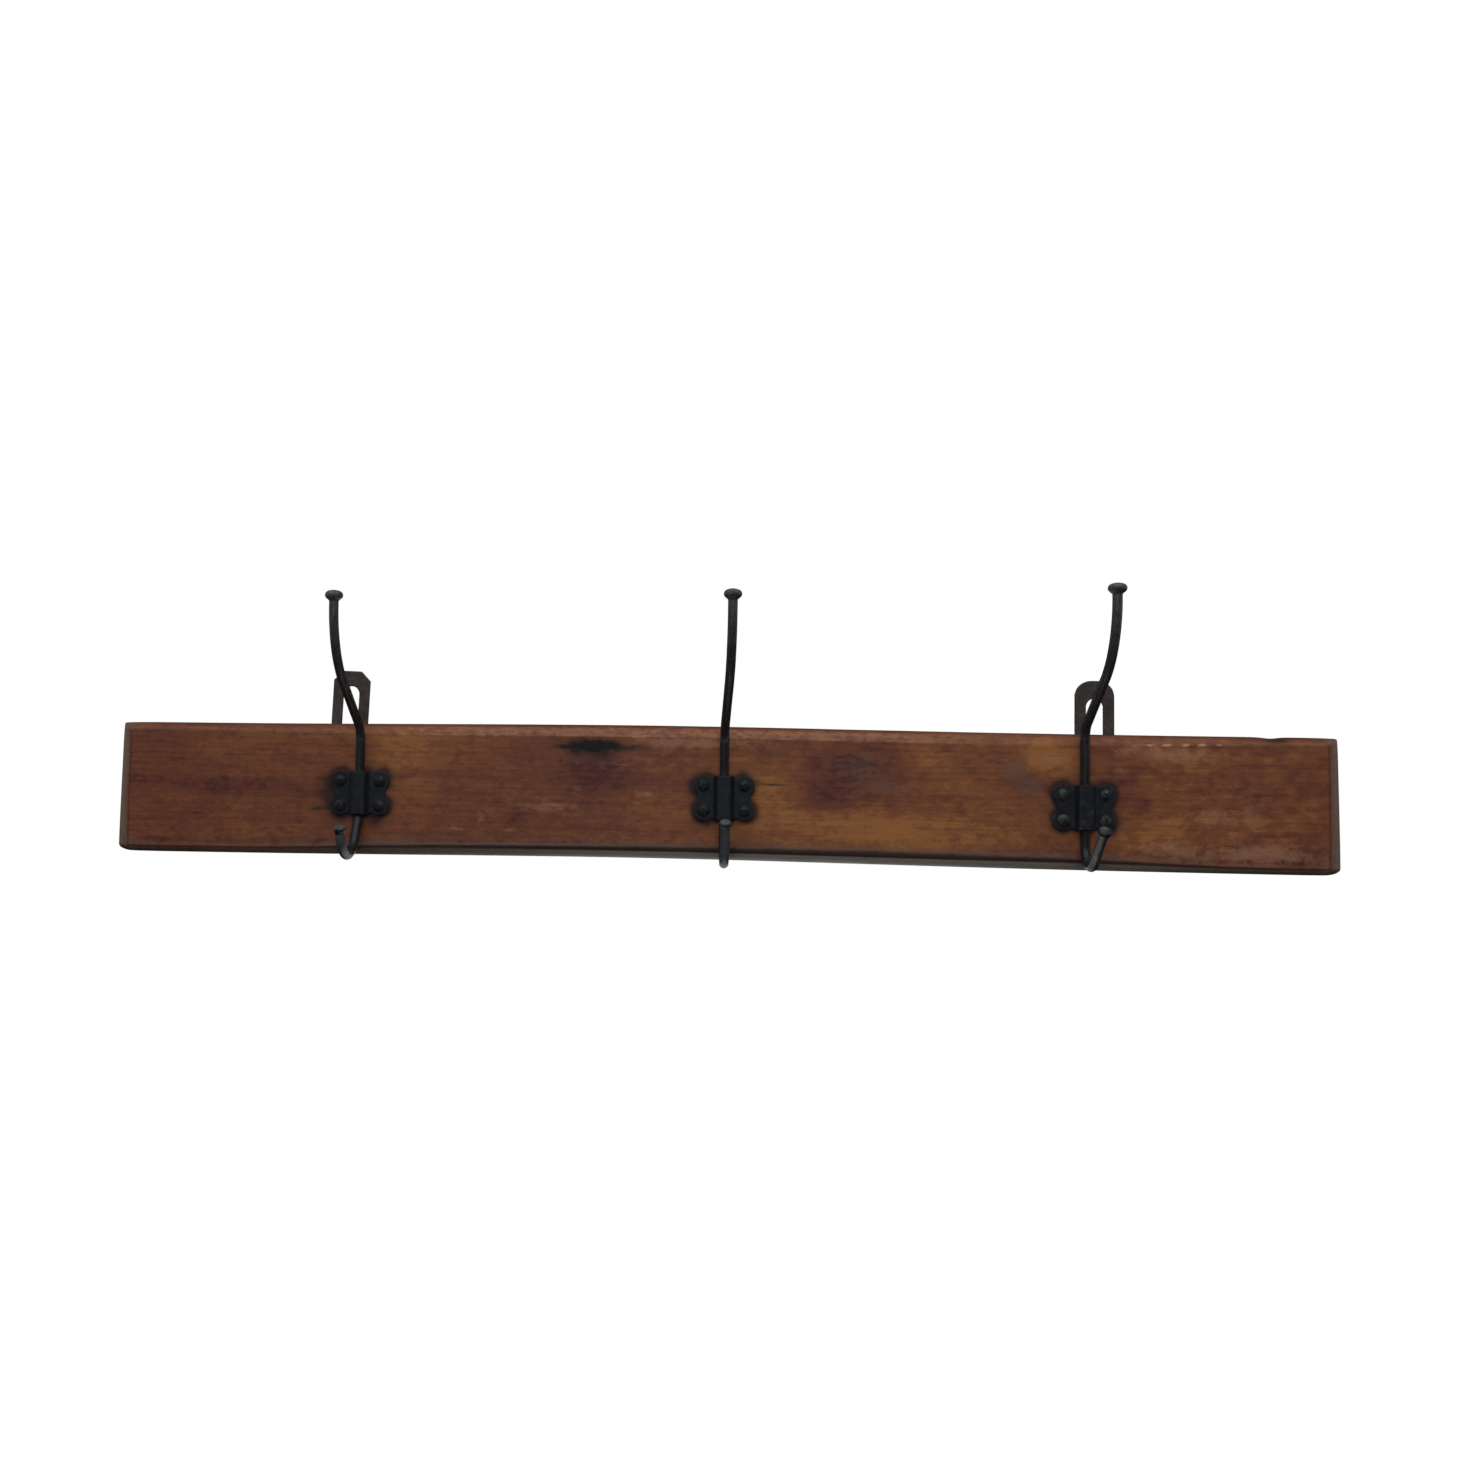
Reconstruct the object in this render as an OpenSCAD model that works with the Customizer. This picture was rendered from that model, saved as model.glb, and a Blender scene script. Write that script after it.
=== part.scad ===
// Wall hook rack: a wooden back board with three rod coat hooks and two hanging brackets.
// X runs along the board, Z is up, and the front of the board faces -Y.
// The origin is the centre of the board's back face, which lies against the wall.

/* [Board] */
// Length of the board
board_l = 809; // [760:1:1000]
// Height of the board
board_h = 89; // [80:1:120]
// Thickness of the board
board_t = 20; // [19:0.5:28]
// Width on the face of the rounding along the board's front arrises
arris_w = 8; // [2:0.5:10]
// Angle of the line where that rounding meets the face
arris_step = 12; // [0:1:30]
// Radius of the board's two lower corners, seen from the front
lower_corner_r = 6; // [1:0.5:10]
// Radius of the board's two upper corners, seen from the front
upper_corner_r = 1.5; // [1:0.5:10]

/* [Hook places] */
// Distance from one hook to the next
hook_pitch = 237.5; // [150:0.5:250]
// Shift of the left, middle and right hook from even spacing
hook_shift = [3, 9.5, 4]; // [-10:0.5:10]
// Height of the left, middle and right plate's centre from the board's middle
plate_z = [-2.5, -2, -4.5]; // [-8:0.5:3]

/* [Hook rods] */
// Diameter of the rod
rod_d = 6; // [5:0.5:7]
// Straight length above the plate's centre, on the left, middle and right hook
peg_rise = [35.5, 37, 44]; // [24:0.5:50]
// Angle by which the upper peg leans out, from vertical
peg_angle = 60; // [40:1:65]
// Bend radius where the peg leaves the board
peg_root_r = 12; // [12:0.5:30]
// Length of the peg's straight slope
peg_slope = 48.5; // [40:0.5:80]
// Bend radius where the peg turns upright again
peg_tip_r = 53; // [30:0.5:60]
// Angle by which each peg is turned sideways, to the right
peg_turn = [-0.4, 2.8, 0.4]; // [-6:0.1:6]
// Straight length below the plate's centre, on the left, middle and right hook
jaw_drop = [13, 16, 23]; // [8:0.5:24]
// Bend radius where the lower hook leaves the board
jaw_root_r = 8; // [6:0.5:12]
// Angle by which each lower hook first kicks out
jaw_kick = [31, 18, 6]; // [2:1:35]
// Straight length of each lower hook after its kick
jaw_throat = [16.5, 13, 1.5]; // [1:0.5:20]
// Bend radius at the bottom of each lower hook
jaw_r = [20.5, 17, 14]; // [12:0.5:22]
// Angle through which the bottom bend of each lower hook turns
jaw_sweep = [130, 132, 122]; // [110:1:145]
// Straight length of each lower hook before its head
jaw_tip = [0.5, 17, 28.5]; // [0.5:0.5:32]
// Angle by which each lower hook is turned sideways, to the right
jaw_turn = [0, 1.2, 0]; // [-4:0.1:4]
// Diameter of the head on the upper peg
peg_head_d = 11.5; // [9:0.5:16]
// Diameter of the head on the lower hook
jaw_head_d = 8.5; // [8.5:0.5:12]

/* [Plates] */
// Distance between a plate's left and right screws
screw_pitch_x = 26.7; // [24:0.1:34]
// Distance between a plate's upper and lower screws
screw_pitch_z = 16.7; // [15:0.1:22]
// Radius of each rounded lobe
lobe_r = 6.65; // [6:0.05:8]
// Thickness of the plate
plate_t = 2; // [1.5:0.1:2.5]
// Radius of the hollow between the lobes on each side
scallop_r = 7.8; // [6:0.1:12]
// Width of the saddle over the rod, at its foot
saddle_w = 13; // [12:0.5:14]

/* [Plate screws] */
// Diameter of the round head
round_head_d = 8.2; // [7:0.1:9]
// Height of the round head
round_head_h = 2.6; // [2:0.1:3.2]
// Length of the screw under its head
screw_l = 16; // [12:0.5:16]
// Diameter of the screw's shank
shank_d = 3.8; // [3:0.1:4]

/* [Hanging brackets] */
// Distance from one bracket to the other
bracket_pitch = 500.5; // [400:0.5:520]
// Shift of the pair of brackets from the board's middle
bracket_shift = 2.5; // [-10:0.5:10]
// Height of the left and right bracket above the board's top edge
bracket_rise = [37.5, 35.5]; // [30:0.5:60]
// Width of each bracket
bracket_w = 25.5; // [24:0.5:30]
// Thickness of each bracket
bracket_t = 3; // [2.5:0.1:4]
// Width of each bracket's slot
slot_w = 11; // [8:0.5:12]
// Metal above the slot of the left and right bracket
slot_roof = [10.5, 12]; // [8:0.5:14]
// Angle by which the left and right bracket lean to the right
bracket_lean = [2, 0]; // [-3:0.5:3]

/* [Hidden] */
$fn = 64;
SIDES = ["left", "middle", "right"];
ENDS = ["left", "right"];
HEIGHTS = ["upper", "lower"];
CORNERS = [for (height = HEIGHTS) for (end = ENDS) str(height, "_", end)];

// The rounding is part of a circle of radius arris_r whose centre is arris_deep behind the face.
arris_r = arris_w / (1 - sin(arris_step));
arris_deep = arris_r * cos(arris_step);

rod_r = rod_d / 2;
// The rod lies along the board's face with this much room under it.
rod_gap = 0.05;
rod_out = rod_r + rod_gap;
// Bends are thinner than straights by this much, and straights run this far into them, so that they join.
bend_slack = 0.01;
bend_lap = 0.1;
peg_neck = 2;
hook_x = [for (i = [0:2]) (i - 1) * hook_pitch + hook_shift[i]];

// Rod heads, as shares of the head's radius: the rim's radius (under 0.5) and height, and the dome's height
head_rim = 0.48;
head_rim_z = 0.62;
head_top = 1.2;
// The cone under the rim meets it at this angle below the horizontal.
head_flare = 60;

// Plate outline and saddle
lobe_x = screw_pitch_x / 2;
lobe_z = screw_pitch_z / 2;
edge_dip = 1.4;
// The hollow's circle touches the upper and the lower lobe.
scallop_x = lobe_x + sqrt(pow(lobe_r + scallop_r, 2) - pow(lobe_z, 2));
saddle_out = rod_d + 2;
saddle_h = 2 * (lobe_z + lobe_r) - 1;
saddle_corner_r = 1.8;
saddle_side = 1.5;
saddle_top_w = saddle_w - 2 * saddle_side;
// The saddle and the flat of the plate run into each other by this much on each side.
saddle_lap = 0.5;

// Screws: each pilot hole and clearance hole is wider than the shank by these amounts, on the radius.
pilot_gap = 0.1;
plate_hole_gap = 0.3;
point_l = 4.5;
point_r = 0.3;
round_slot_w = 1.1;
round_slot_deep = 1.2;
slot_angles = [15, 100, 62, 140, 80, 35, 120, 5, 55, 150, 25, 95];

// Brackets: lengths are measured from the board's top edge
bracket_drop = 33;
bracket_cut = 6.5;
bracket_round_r = 10.5;
bracket_foot_r = 5;
slot_drop = 7;
bracket_screw_drop = [14.5, 25.5];
bracket_shank_r = 1.9;
bracket_screw_l = 14;
csk_head_r = 3.8;
csk_head_h = 1.9;
csk_sink = 0.1;
recess_gap = 0.25;
bracket_slot_angles = [70, 20, 110, 45];
csk_slot_w = 0.9;
csk_slot_deep = 0.8;

wood_colour = [0.36, 0.18, 0.09];
iron_colour = [0.11, 0.11, 0.12];
screw_colour = [0.2, 0.2, 0.21];
rust_colour = [0.27, 0.22, 0.19];
overshoot = 1;

// Radius of the sphere whose cap is h high and has a flat side of radius r
function cap_radius(r, h) = (r * r + h * h) / (2 * h);

// Places a hook's parts: the local origin is the plate's centre on the board's face.
module at_plate(i) {
    translate([hook_x[i], -board_t, plate_z[i]]) children();
}

// Lays a shape drawn in X and Y flat against a face that looks to -Y, so that it stands out from it.
module stand_out(height) {
    rotate([90, 0, 0]) linear_extrude(height = height) children();
}

// Centre of screw hole k of a plate, in the plate's X and Z. Holes 0 and 1 are the upper ones.
function screw_at(k) = [(k % 2 == 0 ? -1 : 1) * lobe_x, (k < 2 ? 1 : -1) * lobe_z];

// Rounded outline of the board's face
module board_outline() {
    union() {
        translate([-board_l / 2, -board_h / 2 + lower_corner_r])
            square([board_l, board_h - lower_corner_r - upper_corner_r]);
        translate([-board_l / 2 + lower_corner_r, -board_h / 2])
            square([board_l - 2 * lower_corner_r, lower_corner_r + overshoot]);
        translate([-board_l / 2 + upper_corner_r, board_h / 2 - upper_corner_r - overshoot])
            square([board_l - 2 * upper_corner_r, upper_corner_r + overshoot]);
        for (end = [-1, 1]) {
            translate([end * (board_l / 2 - lower_corner_r), -board_h / 2 + lower_corner_r])
                circle(r = lower_corner_r);
            translate([end * (board_l / 2 - upper_corner_r), board_h / 2 - upper_corner_r])
                circle(r = upper_corner_r);
        }
    }
}

// Section of the board across a width, with its back at Y = 0 and both front arrises rounded.
// The circles reach past the face, where the board's outline cuts them off.
module rounded_section(width) {
    translate([-width / 2, -board_t + arris_deep]) square([width, board_t - arris_deep]);
    translate([-width / 2 + arris_w, -board_t]) square([width - 2 * arris_w, arris_deep + overshoot]);
    for (side = [-1, 1]) {
        translate([side * (width / 2 - arris_r), -board_t + arris_deep]) circle(r = arris_r);
    }
}

// Pilot hole for a wood screw, down from the origin along +Y
module pilot_hole(radius, depth) {
    rotate([90, 0, 0]) translate([0, 0, -depth]) cylinder(r = radius, h = depth + overshoot);
}

module board() {
    color(wood_colour) difference() {
        intersection() {
            stand_out(board_t) board_outline();
            linear_extrude(height = board_h, center = true) rounded_section(board_l);
            rotate([90, 0, 90]) linear_extrude(height = board_l, center = true)
                rotate([0, 0, -90]) rounded_section(board_h);
        }
        for (i = [0:2]) {
            for (k = [0:3]) {
                at_plate(i) translate([screw_at(k)[0], 0, screw_at(k)[1]])
                    pilot_hole(shank_d / 2 + pilot_gap, screw_l - plate_t + pilot_gap);
            }
        }
        for (i = [0:1]) {
            at_bracket(i) {
                translate([0, overshoot, 0]) stand_out(bracket_t + overshoot)
                    bracket_blank(i, recess_gap, board_h);
                for (drop = bracket_screw_drop) {
                    translate([0, -bracket_screw_l - pilot_gap, -drop]) rotate([-90, 0, 0])
                        cylinder(r = bracket_shank_r + pilot_gap, h = bracket_screw_l + overshoot);
                }
            }
        }
    }
}

// A rod that goes on from the origin along +Z as a chain of [bend radius, bend angle, straight length].
// A positive angle bends it towards -Y. The children stand on its far end.
module rod_chain(steps, k = 0) {
    if (k == len(steps)) {
        children();
    } else {
        bend_r = steps[k][0];
        turn = steps[k][1];
        straight = steps[k][2];
        towards = turn < 0 ? -1 : 1;
        laps = k < len(steps) - 1 ? 2 : 1;
        translate([0, -towards * bend_r, 0]) {
            rotate([0, 0, towards < 0 ? 180 : 0]) rotate([90, 0, 90])
                rotate_extrude(angle = abs(turn)) translate([bend_r, 0]) circle(r = rod_r - bend_slack);
            rotate([turn, 0, 0]) translate([0, towards * bend_r, 0]) {
                translate([0, 0, -bend_lap]) cylinder(r = rod_r, h = straight + laps * bend_lap);
                translate([0, 0, straight]) rod_chain(steps, k + 1) children();
            }
        }
    }
}

// Flattened ball of an upset rod end, standing on Z = 0: a round rim and a low dome
module rod_head(head_d) {
    head_r = head_d / 2;
    rim_r = head_r * head_rim;
    rim_x = head_r - rim_r;
    rim_z = head_r * head_rim_z;
    top = head_r * head_top;
    flare_x = rim_x + rim_r * cos(head_flare);
    flare_z = rim_z - rim_r * sin(head_flare);
    // The dome's sphere touches the rim's circle and passes through the top.
    rise = top - rim_r;
    dome_z = (rim_x * rim_x + rim_z * rim_z - rise * rise) / (2 * (rim_z - rise));
    dome_r = top - dome_z;
    rotate_extrude() {
        polygon([[0, 0], [rod_r, 0], [flare_x, flare_z], [rim_x, rim_z], [0, rim_z]]);
        translate([rim_x, rim_z]) circle(r = rim_r);
        intersection() {
            translate([0, dome_z]) circle(r = dome_r);
            translate([0, rim_z]) square([rim_x * dome_r / (dome_r - rim_r), top]);
        }
    }
}

// One bent rod: the upper peg and the lower hook are one length of iron
module hook(i) {
    color(iron_colour) at_plate(i) translate([0, -rod_out, 0]) {
        translate([0, 0, -jaw_drop[i] - bend_lap])
            cylinder(r = rod_r, h = jaw_drop[i] + peg_rise[i] + 2 * bend_lap);
        translate([0, 0, peg_rise[i]]) rotate([0, 0, peg_turn[i]])
            rod_chain([
                [peg_root_r, peg_angle, peg_slope],
                [peg_tip_r, -peg_angle, peg_neck]
            ]) rod_head(peg_head_d);
        translate([0, 0, -jaw_drop[i]]) rotate([0, 180, jaw_turn[i]])
            rod_chain([
                [jaw_root_r, jaw_kick[i], jaw_throat[i]],
                [jaw_r[i], jaw_sweep[i], jaw_tip[i]]
            ]) rod_head(jaw_head_d);
    }
}

// Four-lobed outline of a plate
module plate_outline() {
    difference() {
        union() {
            for (k = [0:3]) {
                translate(screw_at(k)) circle(r = lobe_r);
            }
            square([2 * (lobe_x + lobe_r), 2 * lobe_z], center = true);
            square([2 * lobe_x, 2 * (lobe_z + lobe_r - edge_dip)], center = true);
        }
        for (side = [-1, 1]) {
            translate([side * scallop_x, 0]) circle(r = scallop_r);
        }
    }
}

// Section of the saddle in X and Y: the board's face is Y = 0 and the rod lies in front of it
module saddle_section() {
    difference() {
        union() {
            polygon([
                [-saddle_w / 2, 0],
                [-saddle_w / 2, -plate_t],
                [-saddle_top_w / 2, -saddle_out + saddle_corner_r],
                [saddle_top_w / 2, -saddle_out + saddle_corner_r],
                [saddle_w / 2, -plate_t],
                [saddle_w / 2, 0]
            ]);
            translate([-saddle_top_w / 2 + saddle_corner_r, -saddle_out])
                square([saddle_top_w - 2 * saddle_corner_r, saddle_corner_r + overshoot]);
            for (side = [-1, 1]) {
                translate([side * (saddle_top_w / 2 - saddle_corner_r), -saddle_out + saddle_corner_r])
                    circle(r = saddle_corner_r);
            }
        }
        translate([0, -rod_out]) circle(r = rod_r + rod_gap);
        translate([-rod_r - rod_gap, -rod_out]) square([2 * (rod_r + rod_gap), rod_out + overshoot]);
    }
}

module plate(i) {
    color(iron_colour) at_plate(i) {
        difference() {
            stand_out(plate_t) plate_outline();
            cube([saddle_w - 2 * saddle_lap, 2 * (plate_t + overshoot), 2 * saddle_h], center = true);
            for (k = [0:3]) {
                translate([screw_at(k)[0], overshoot, screw_at(k)[1]]) rotate([90, 0, 0])
                    cylinder(r = shank_d / 2 + plate_hole_gap, h = plate_t + 2 * overshoot);
            }
        }
        linear_extrude(height = saddle_h, center = true) saddle_section();
    }
}

// Wood screw with a slotted round head. It stands on Z = 0 and its shank points to -Z.
module round_screw(slot_angle) {
    ball_r = cap_radius(round_head_d / 2, round_head_h);
    difference() {
        rotate_extrude() intersection() {
            translate([0, round_head_h - ball_r]) circle(r = ball_r);
            square([round_head_d, round_head_d]);
        }
        rotate([0, 0, slot_angle]) translate([0, 0, round_head_h])
            cube([round_head_d + overshoot, round_slot_w, 2 * round_slot_deep], center = true);
    }
    translate([0, 0, point_l - screw_l]) cylinder(r = shank_d / 2, h = screw_l - point_l);
    translate([0, 0, -screw_l]) cylinder(r1 = point_r, r2 = shank_d / 2, h = point_l);
}

module plate_screw(i, k) {
    color(screw_colour) at_plate(i) translate([screw_at(k)[0], -plate_t, screw_at(k)[1]])
        rotate([90, 0, 0]) round_screw(slot_angles[4 * i + k]);
}

// Places a bracket: the local origin is on the board's back face at its top edge.
module at_bracket(i) {
    translate([bracket_shift + (i - 0.5) * bracket_pitch, 0, board_h / 2])
        rotate([0, bracket_lean[i], 0]) children();
}

// Outline of a bracket without its holes, grown by gap at its sides and foot, up to the height top.
// The left one has cut corners at its top and the right one has round corners.
module bracket_blank(i, gap, top) {
    half = bracket_w / 2 + gap;
    foot = -bracket_drop - gap;
    translate([-half, foot + bracket_foot_r]) square([2 * half, bracket_drop + gap - bracket_foot_r]);
    translate([-half + bracket_foot_r, foot])
        square([2 * (half - bracket_foot_r), bracket_foot_r + overshoot]);
    for (side = [-1, 1]) {
        translate([side * (half - bracket_foot_r), foot + bracket_foot_r]) circle(r = bracket_foot_r);
    }
    if (i == 0) {
        polygon([
            [-half, -overshoot],
            [half, -overshoot],
            [half, top - bracket_cut],
            [half - bracket_cut, top],
            [-half + bracket_cut, top],
            [-half, top - bracket_cut]
        ]);
    } else {
        translate([-half, -overshoot]) square([2 * half, top - bracket_round_r + overshoot]);
        translate([-half + bracket_round_r, 0]) square([2 * (half - bracket_round_r), top]);
        for (side = [-1, 1]) {
            translate([side * (half - bracket_round_r), top - bracket_round_r]) circle(r = bracket_round_r);
        }
    }
}

// Slot of a bracket, round at both ends
module bracket_slot(i) {
    slot_r = slot_w / 2;
    upper = bracket_rise[i] - slot_roof[i] - slot_r;
    lower = -slot_drop + slot_r;
    translate([-slot_r, lower]) square([slot_w, upper - lower]);
    for (end_z = [lower, upper]) {
        translate([0, end_z]) circle(r = slot_r);
    }
}

module bracket(i) {
    color(rust_colour) at_bracket(i) difference() {
        stand_out(bracket_t) difference() {
            bracket_blank(i, 0, bracket_rise[i]);
            bracket_slot(i);
        }
        for (drop = bracket_screw_drop) {
            translate([0, 0, -drop]) {
                rotate([90, 0, 0]) translate([0, 0, -overshoot])
                    cylinder(r = bracket_shank_r + pilot_gap, h = bracket_t + 2 * overshoot);
                rotate([90, 0, 0]) csk_cone(pilot_gap);
            }
        }
    }
}

// Cone of a countersunk head, from Z = 0 down into +Z, grown by gap
module csk_cone(gap) {
    translate([0, 0, csk_sink]) cylinder(r1 = csk_head_r + gap, r2 = bracket_shank_r + gap, h = csk_head_h);
    translate([0, 0, -overshoot]) cylinder(r = csk_head_r + gap, h = overshoot + csk_sink);
}

// Wood screw with a slotted countersunk head, which lies just under Z = 0 and points to +Z.
module csk_screw(slot_angle) {
    difference() {
        translate([0, 0, csk_sink])
            cylinder(r1 = csk_head_r, r2 = bracket_shank_r, h = csk_head_h);
        rotate([0, 0, slot_angle]) translate([0, 0, csk_sink])
            cube([2 * csk_head_r + overshoot, csk_slot_w, 2 * csk_slot_deep], center = true);
    }
    translate([0, 0, csk_sink + csk_head_h])
        cylinder(r = bracket_shank_r, h = bracket_screw_l - csk_sink - csk_head_h - point_l);
    translate([0, 0, bracket_screw_l - point_l]) cylinder(r1 = bracket_shank_r, r2 = point_r, h = point_l);
}

module bracket_screw(i, k) {
    color(screw_colour) at_bracket(i) translate([0, 0, -bracket_screw_drop[k]])
        rotate([90, 0, 0]) csk_screw(bracket_slot_angles[2 * i + k]);
}

board();
for (i = [0:2]) {
    hook(i);
    plate(i);
    for (k = [0:3]) {
        plate_screw(i, k);
    }
}
for (i = [0:1]) {
    bracket(i);
    for (k = [0:1]) {
        bracket_screw(i, k);
    }
}
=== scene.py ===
"""Looks for the wall hook rack: a stained wooden board, three rod hooks under butterfly plates, two brackets.

Metres throughout, in the CAD frame: X along the board, Z up, the front faces -Y and the wall is Y = 0.
"""

import itertools
import math

import bmesh
import bpy
import numpy as np
from mathutils import Matrix, Vector


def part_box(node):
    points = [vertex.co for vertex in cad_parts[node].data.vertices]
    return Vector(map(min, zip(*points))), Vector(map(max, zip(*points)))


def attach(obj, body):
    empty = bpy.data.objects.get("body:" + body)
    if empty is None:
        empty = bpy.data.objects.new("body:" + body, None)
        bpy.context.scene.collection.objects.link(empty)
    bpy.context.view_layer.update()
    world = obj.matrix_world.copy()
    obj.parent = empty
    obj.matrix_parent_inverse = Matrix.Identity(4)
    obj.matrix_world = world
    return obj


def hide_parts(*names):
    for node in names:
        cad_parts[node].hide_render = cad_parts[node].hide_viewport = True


MM = 0.001
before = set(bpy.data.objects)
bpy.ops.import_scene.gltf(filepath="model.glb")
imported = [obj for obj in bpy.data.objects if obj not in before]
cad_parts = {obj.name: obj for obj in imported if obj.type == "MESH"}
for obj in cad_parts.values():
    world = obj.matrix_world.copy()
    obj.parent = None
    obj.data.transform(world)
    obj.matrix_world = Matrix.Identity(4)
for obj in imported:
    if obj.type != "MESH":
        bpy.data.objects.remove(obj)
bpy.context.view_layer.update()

SIDES = ("left", "middle", "right")
ENDS = ("left", "right")
CORNERS = ("upper_left", "upper_right", "lower_left", "lower_right")
HEIGHTS = ("upper", "lower")

# Board: width of the rounded arris on the face, and the angle at which it still meets the face
ARRIS_W = 8 * MM
ARRIS_STEP = math.radians(12)
UPPER_CORNER_R = 1.5 * MM
LOWER_CORNER_R = 8 * MM

# Rod and hooks, one value for each of the left, middle and right hook where they differ
ROD_R = 3 * MM
ROD_OUT = 3.05 * MM
PEG_RISE = (35.5, 37, 44)
PEG_BENDS = ((12, 60, 48.5), (53, -60, 2))
PEG_TURN = (-0.4, 2.8, 0.4)
PEG_HEAD_R = 5.75 * MM
JAW_DROP = (13, 16, 23)
JAW_BENDS = (
    ((8, 31, 16.5), (20.5, 130, 0.5)),
    ((8, 18, 13), (17, 132, 17)),
    ((8, 6, 1.5), (14, 122, 28.5)),
)
JAW_TURN = (0, 1.2, 0)
JAW_HEAD_R = 4.25 * MM

# Plates: places of the screws, radius of the lobes and of the hollows at the sides, thickness and saddle
SCREW_X = 13.35 * MM
SCREW_Z = 8.35 * MM
LOBE_R = 6.65 * MM
SCALLOP_R = 7.8 * MM
EDGE_DIP = 1.4 * MM
PLATE_T = 2 * MM
SADDLE_W = 13 * MM
SADDLE_TOP_W = 10 * MM
SADDLE_OUT = 8 * MM
SADDLE_CORNER_R = 1.8 * MM
CHANNEL_R = ROD_R + 0.12 * MM
PLATE_HOLE_R = 2.2 * MM

# Screws
ROUND_HEAD_R = 4.1 * MM
ROUND_HEAD_H = 2.6 * MM
ROUND_SHANK_R = 1.9 * MM
ROUND_LENGTH = 16 * MM
ROUND_SLOTS = (15, 100, 62, 140, 80, 35, 120, 5, 55, 150, 25, 95)
CSK_HEAD_R = 3.8 * MM
CSK_HEAD_H = 1.9 * MM
CSK_SINK = 0.1 * MM
CSK_LENGTH = 14 * MM
CSK_SLOTS = (70, 20, 110, 45)
THREAD_PITCH = 1.6 * MM
THREAD_DEEP = 0.4 * MM
POINT_L = 4.5 * MM
PILOT_GAP = 0.1 * MM
PILOT_R = ROUND_SHANK_R + PILOT_GAP

# Brackets
BRACKET_W = 25.5 * MM
BRACKET_T = 3 * MM
BRACKET_LEAN = (math.radians(2), 0)
BRACKET_RISE = (37.5 * MM, 35.5 * MM)
BRACKET_DROP = 33 * MM
BRACKET_CUT = 6.5 * MM
BRACKET_ROUND_R = 10.5 * MM
BRACKET_FOOT_R = 5 * MM
BRACKET_SCREW_DROPS = (14.5 * MM, 25.5 * MM)
SLOT_W = 11 * MM
SLOT_ROOF = (10.5 * MM, 12 * MM)
SLOT_DROP = 7 * MM
RECESS_GAP = 0.25 * MM
BRACKET_HOLE_R = 2 * MM
SEAT_R = 5.9 * MM
SEAT_L = 3.9 * MM


# -------- noise and mesh helpers


def noise(points, size, seed):
    """Smooth noise from -1 to 1 at each point. size is its features' width in mm, one number or three."""
    p = np.asarray(points, float) / (np.asarray(size, float) * MM)
    cell = np.floor(p).astype(np.int64)
    part = p - cell
    part = part * part * (3 - 2 * part)
    total = np.zeros(len(p))
    for corner in itertools.product((0, 1), repeat=3):
        c = cell + np.array(corner)
        h = (c[:, 0] * 73856093) ^ (c[:, 1] * 19349663) ^ (c[:, 2] * 83492791) ^ (seed * 6542989)
        h = ((h ^ (h >> 13)) * 1274126177) & 0xFFFFFFFF
        value = ((h ^ (h >> 16)) & 0xFFFF) / 32767.5 - 1
        total += value * np.prod(np.where(np.array(corner) == 1, part, 1 - part), axis=1)
    return total


def layered_noise(points, size, seed, layers=3):
    """Noise with finer and weaker layers added, from about -1 to 1."""
    total = sum(noise(points, np.asarray(size, float) / 2**k, seed + k) / 2**k for k in range(layers))
    return total / (2 - 0.5 ** (layers - 1))


def step(low, high, value):
    """0 below low, 1 above high and smooth between."""
    t = np.clip((value - low) / (high - low), 0, 1)
    return t * t * (3 - 2 * t)


def bell(value, width, power=2):
    """1 where value is 0, and falling off to both sides over width."""
    return np.exp(-((value / width) ** power))


def new_piece(name, mesh):
    piece = bpy.data.objects.new(name, mesh)
    bpy.context.scene.collection.objects.link(piece)
    return piece


def mesh_from(name, points, faces):
    mesh = bpy.data.meshes.new(name)
    mesh.from_pydata([tuple(p) for p in points], [], faces)
    mesh.validate()
    mesh.update()
    return mesh


def mesh_points(mesh):
    co = np.empty(len(mesh.vertices) * 3)
    mesh.vertices.foreach_get("co", co)
    return co.reshape(-1, 3)


def mesh_normals(mesh):
    out = np.empty(len(mesh.vertices) * 3)
    mesh.vertex_normals.foreach_get("vector", out)
    return out.reshape(-1, 3)


def set_points(mesh, points):
    mesh.vertices.foreach_set("co", np.asarray(points, float).ravel())
    mesh.update()


def paint(mesh, name, values):
    """Stores one number per point, which a material reads by name."""
    layer = mesh.attributes.new(name, "FLOAT", "POINT")
    layer.data.foreach_set("value", np.asarray(values, np.float32))


def clean(mesh, weld=1e-6):
    """Welds points closer than weld, unless it is 0, makes normals face out and shades smooth."""
    bm = bmesh.new()
    bm.from_mesh(mesh)
    if weld:
        bmesh.ops.remove_doubles(bm, verts=bm.verts, dist=weld)
    bmesh.ops.recalc_face_normals(bm, faces=bm.faces)
    bm.to_mesh(mesh)
    bm.free()
    mesh.shade_smooth()
    mesh.update()


def with_modifiers(piece):
    """Applies the piece's modifiers to its mesh."""
    graph = bpy.context.evaluated_depsgraph_get()
    mesh = bpy.data.meshes.new_from_object(piece.evaluated_get(graph), depsgraph=graph)
    piece.modifiers.clear()
    old = piece.data
    piece.data = mesh
    bpy.data.meshes.remove(old)


def cut(piece, cutter_mesh):
    """Takes the cutter's solids away from the piece."""
    cutter = new_piece(piece.name + "_cutter", cutter_mesh)
    modifier = piece.modifiers.new("cut", "BOOLEAN")
    modifier.operation = "DIFFERENCE"
    modifier.solver = "EXACT"
    modifier.use_self = False
    modifier.object = cutter
    with_modifiers(piece)
    bpy.data.objects.remove(cutter)


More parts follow.
